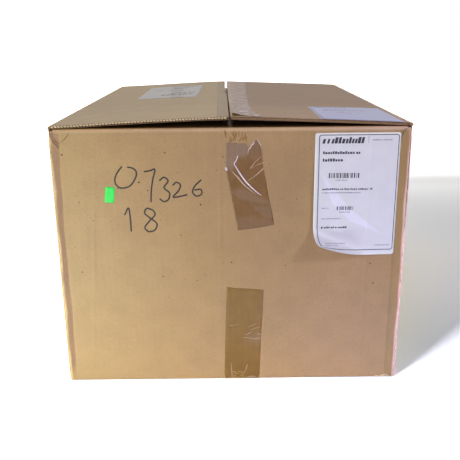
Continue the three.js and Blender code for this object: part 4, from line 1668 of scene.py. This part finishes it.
def sunLamp(name, azimuth, elevation, strength, spread, colour):
    # azimuth is where the light comes from: 0 is the camera's side, positive to the right
    lamp = bpy.data.lights.new(name, "SUN")
    lamp.energy = strength
    lamp.angle = math.radians(spread)
    lamp.color = toLinear(colour)[:3]
    a, e = math.radians(azimuth), math.radians(elevation)
    towards = Vector((-math.sin(a) * math.cos(e), math.cos(a) * math.cos(e), -math.sin(e)))
    return lampHolder(name, lamp, towards)


# A low sun-like key from the front left throws the shadow, and the lamps near the floor stand in for light
# that the white floor sends back up the front wall. Its right half is lit cooler than its left.
studio = {
    "sky": 0.04,
    "floor": 0.8,  # the floor's own reflectance
    "floorSeen": (5.9, 6.8, 5.95),  # what the camera gets of it, so that all but the shadow is white
    # and what that is multiplied by, front to back, with the steps between them as (from, to) along Y:
    # painted shade, darker near the box and lighter far from it, so that the cast shadow is deep beside the
    # box and fades farther back
    "floorTones": [(1.2, 1.2, 1.2), (0.67, 0.72, 0.8), (1.07, 1.02, 0.95), (1.78, 1.64, 1.5)],
    "floorSteps": [(-1.1, -0.6), (-0.18, 0.26), (0.3, 0.8)],
    "floorReach": 20000,  # mm
}
key = {"azimuth": -45, "elevation": 17, "spread": 9, "colour": "#ffebff"}
# place and aim in metres, the size of the lamp, and the angle that its light spreads over
areaLamps = {
    "leftBounce": {"place": (-0.42, -0.62, 0.04), "aim": (-0.2, -0.286, 0.0), "size": (0.3, 0.06),
                   "watts": 1.706, "colour": "#e8fff2"},
    "rightBounce": {"place": (0.2, -0.47, 0.02), "aim": (0.2, -0.286, 0.0), "size": (0.2, 0.03),
                    "watts": 0.14, "colour": "#6a8aff"},
    "lowBounce": {"place": (0.0, -0.5, 0.012), "aim": (0.0, -0.286, 0.0), "size": (0.5, 0.02),
                  "watts": 0.153, "colour": "#fff3f0"},
    "edgeStrip": {"place": (0.717, -0.3, 0.17), "aim": (0.217, -0.2855, 0.17), "size": (0.012, 0.34),
                  "watts": 0.022, "colour": "#ffc4e6", "spread": 4},
    "footBounce": {"place": (0.0, -0.37, 0.006), "aim": (0.0, -0.286, 0.0), "size": (0.46, 0.01),
                   "watts": 0.02, "colour": "#fff6f0"},
    "rightKey": {"place": (1.05, -1.1, 0.95), "aim": (0.1, -0.286, 0.2), "size": (0.3, 0.3),
                 "watts": 10.0, "colour": "#e0e3ff"},
    "backFill": {"place": (0.5, 1.6, 0.8), "aim": (0, 0.286, 0.15), "size": (1.2, 1.0),
                 "watts": 11, "colour": "#ffffff"},
    "overhead": {"place": (-0.2, 0.2, 2.0), "aim": (0, 0, 0.33), "size": (1.4, 1.4),
                 "watts": 3.16, "colour": "#dacfff"},
    "flapSheen": {"place": (-0.2, 0.2, 2.0), "aim": (0, 0, 0.33), "size": (1.4, 1.4),
                  "watts": 8.8, "colour": "#ffffff"},
}
sunLamp("leftKey", strength=1.25, **key)
floorKey = sunLamp("floorKey", strength=0.35, **key)  # the same light once more, on the floor alone
lamps = {name: areaLamp(name, **values) for name, values in areaLamps.items()}


def keepOff(pieces, *holders, state="EXCLUDE"):
    # these lamps are screened off the pieces, as with a black card between them
    group = bpy.data.collections.new("screened")
    for place, piece in enumerate(pieces):
        group.objects.link(piece)
        group.collection_objects[place].light_linking.link_state = state
    for holder in holders:
        holder.light_linking.receiver_collection = group


def skyWorld():
    world = bpy.data.worlds.new("studio")
    bpy.context.scene.world = world
    world.use_nodes = True
    tree = world.node_tree
    tree.nodes.clear()
    rays = addNode(tree, "ShaderNodeLightPath")
    seen = reckoned(tree, "MAXIMUM", rays.outputs["Is Camera Ray"], rays.outputs["Is Glossy Ray"])
    seen = reckoned(tree, "MAXIMUM", seen, rays.outputs["Is Transmission Ray"])
    strength = ranged(tree, seen, 0.0, 1.0, studio["sky"], 1.0)
    sky = addNode(tree, "ShaderNodeBackground", {"Color": (1, 1, 1, 1), "Strength": strength})
    addNode(tree, "ShaderNodeOutputWorld", {"Surface": sky.outputs[0]})


def studioFloor():
    material = bpy.data.materials.new("whiteStudioFloor")
    material.use_nodes = True
    tree = material.node_tree
    tree.nodes.clear()
    rays = addNode(tree, "ShaderNodeLightPath")
    place = addNode(tree, "ShaderNodeTexCoord").outputs["Object"]
    back = addNode(tree, "ShaderNodeSeparateXYZ", {0: place}).outputs["Y"]
    tones = [(*(np.array(studio["floorSeen"]) * tone).tolist(), 1) for tone in studio["floorTones"]]
    near, beside, far = (ranged(tree, back, *step) for step in studio["floorSteps"])
    seen = mixed(tree, near, tones[0], tones[1])
    seen = mixed(tree, beside, seen, tones[2])
    seen = mixed(tree, reckoned(tree, "MULTIPLY", far, far), seen, tones[3])
    level = studio["floor"]
    colour = mixed(tree, rays.outputs["Is Camera Ray"], (level, level, level, 1), seen)
    matt = addNode(tree, "ShaderNodeBsdfDiffuse", {"Color": colour})
    addNode(tree, "ShaderNodeOutputMaterial", {"Surface": matt.outputs[0]})
    far = float(studio["floorReach"])
    corners = np.array([[(-far, -far, 0), (far, -far, 0)], [(-far, far, 0), (far, far, 0)]])
    floor = pieceFrom("studioFloor", [gridPart(corners)], [material])
    return floor


skyWorld()
backdrop = studioFloor()
flapTops = [leftFlapBoard, rightFlapBoard, leftFlapPaper, rightFlapPaper, leftTape, rightTape]
keepOff([backdrop, *flapTops], lamps["backFill"])
keepOff([backdrop], floorKey, state="INCLUDE")
keepOff([backdrop], *(lamps[name] for name in ("rightKey", "lowBounce", "footBounce", "flapSheen")))
keepOff([backdrop, frontLabel, labelMarks, labelLines, leftFlapBoard, rightFlapBoard], lamps["edgeStrip"])
bpy.context.scene.view_settings.view_transform = "Standard"
print("lights and floor made")

rideAll("carton", "board", cartonBoard, cartonFlutes, penMarks, curledLiner, frontCreaseShadows, tornFibres,
        paleTears, frontSpecks)
rideAll("carton", "tape", tapeTab, tabGlints, tabCreases, bottomTape, stripGlints, stripCreases, backTab)
rideAll("carton", "label_paper", frontLabel, labelMarks, labelLines)
rideAll("carton", "sticker_paper", sticker)
rideAll("left_flap", "board", leftFlapBoard, leftFlutes, teethTops, teethGaps)
rideAll("left_flap", "tape", leftTape)
rideAll("left_flap", "label_paper", leftFlapPaper, leftFlapMarks)
rideAll("right_flap", "board", rightFlapBoard, rightFlutes, flapTear, flapTearEdge, flapCrease)
rideAll("right_flap", "tape", rightTape)
rideAll("right_flap", "label_paper", rightFlapPaper, rightFlapMarks)
for piece, body in ((leftFold, "left_flap"), (rightFold, "right_flap")):
    side = -1 if body == "left_flap" else 1
    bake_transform(piece)
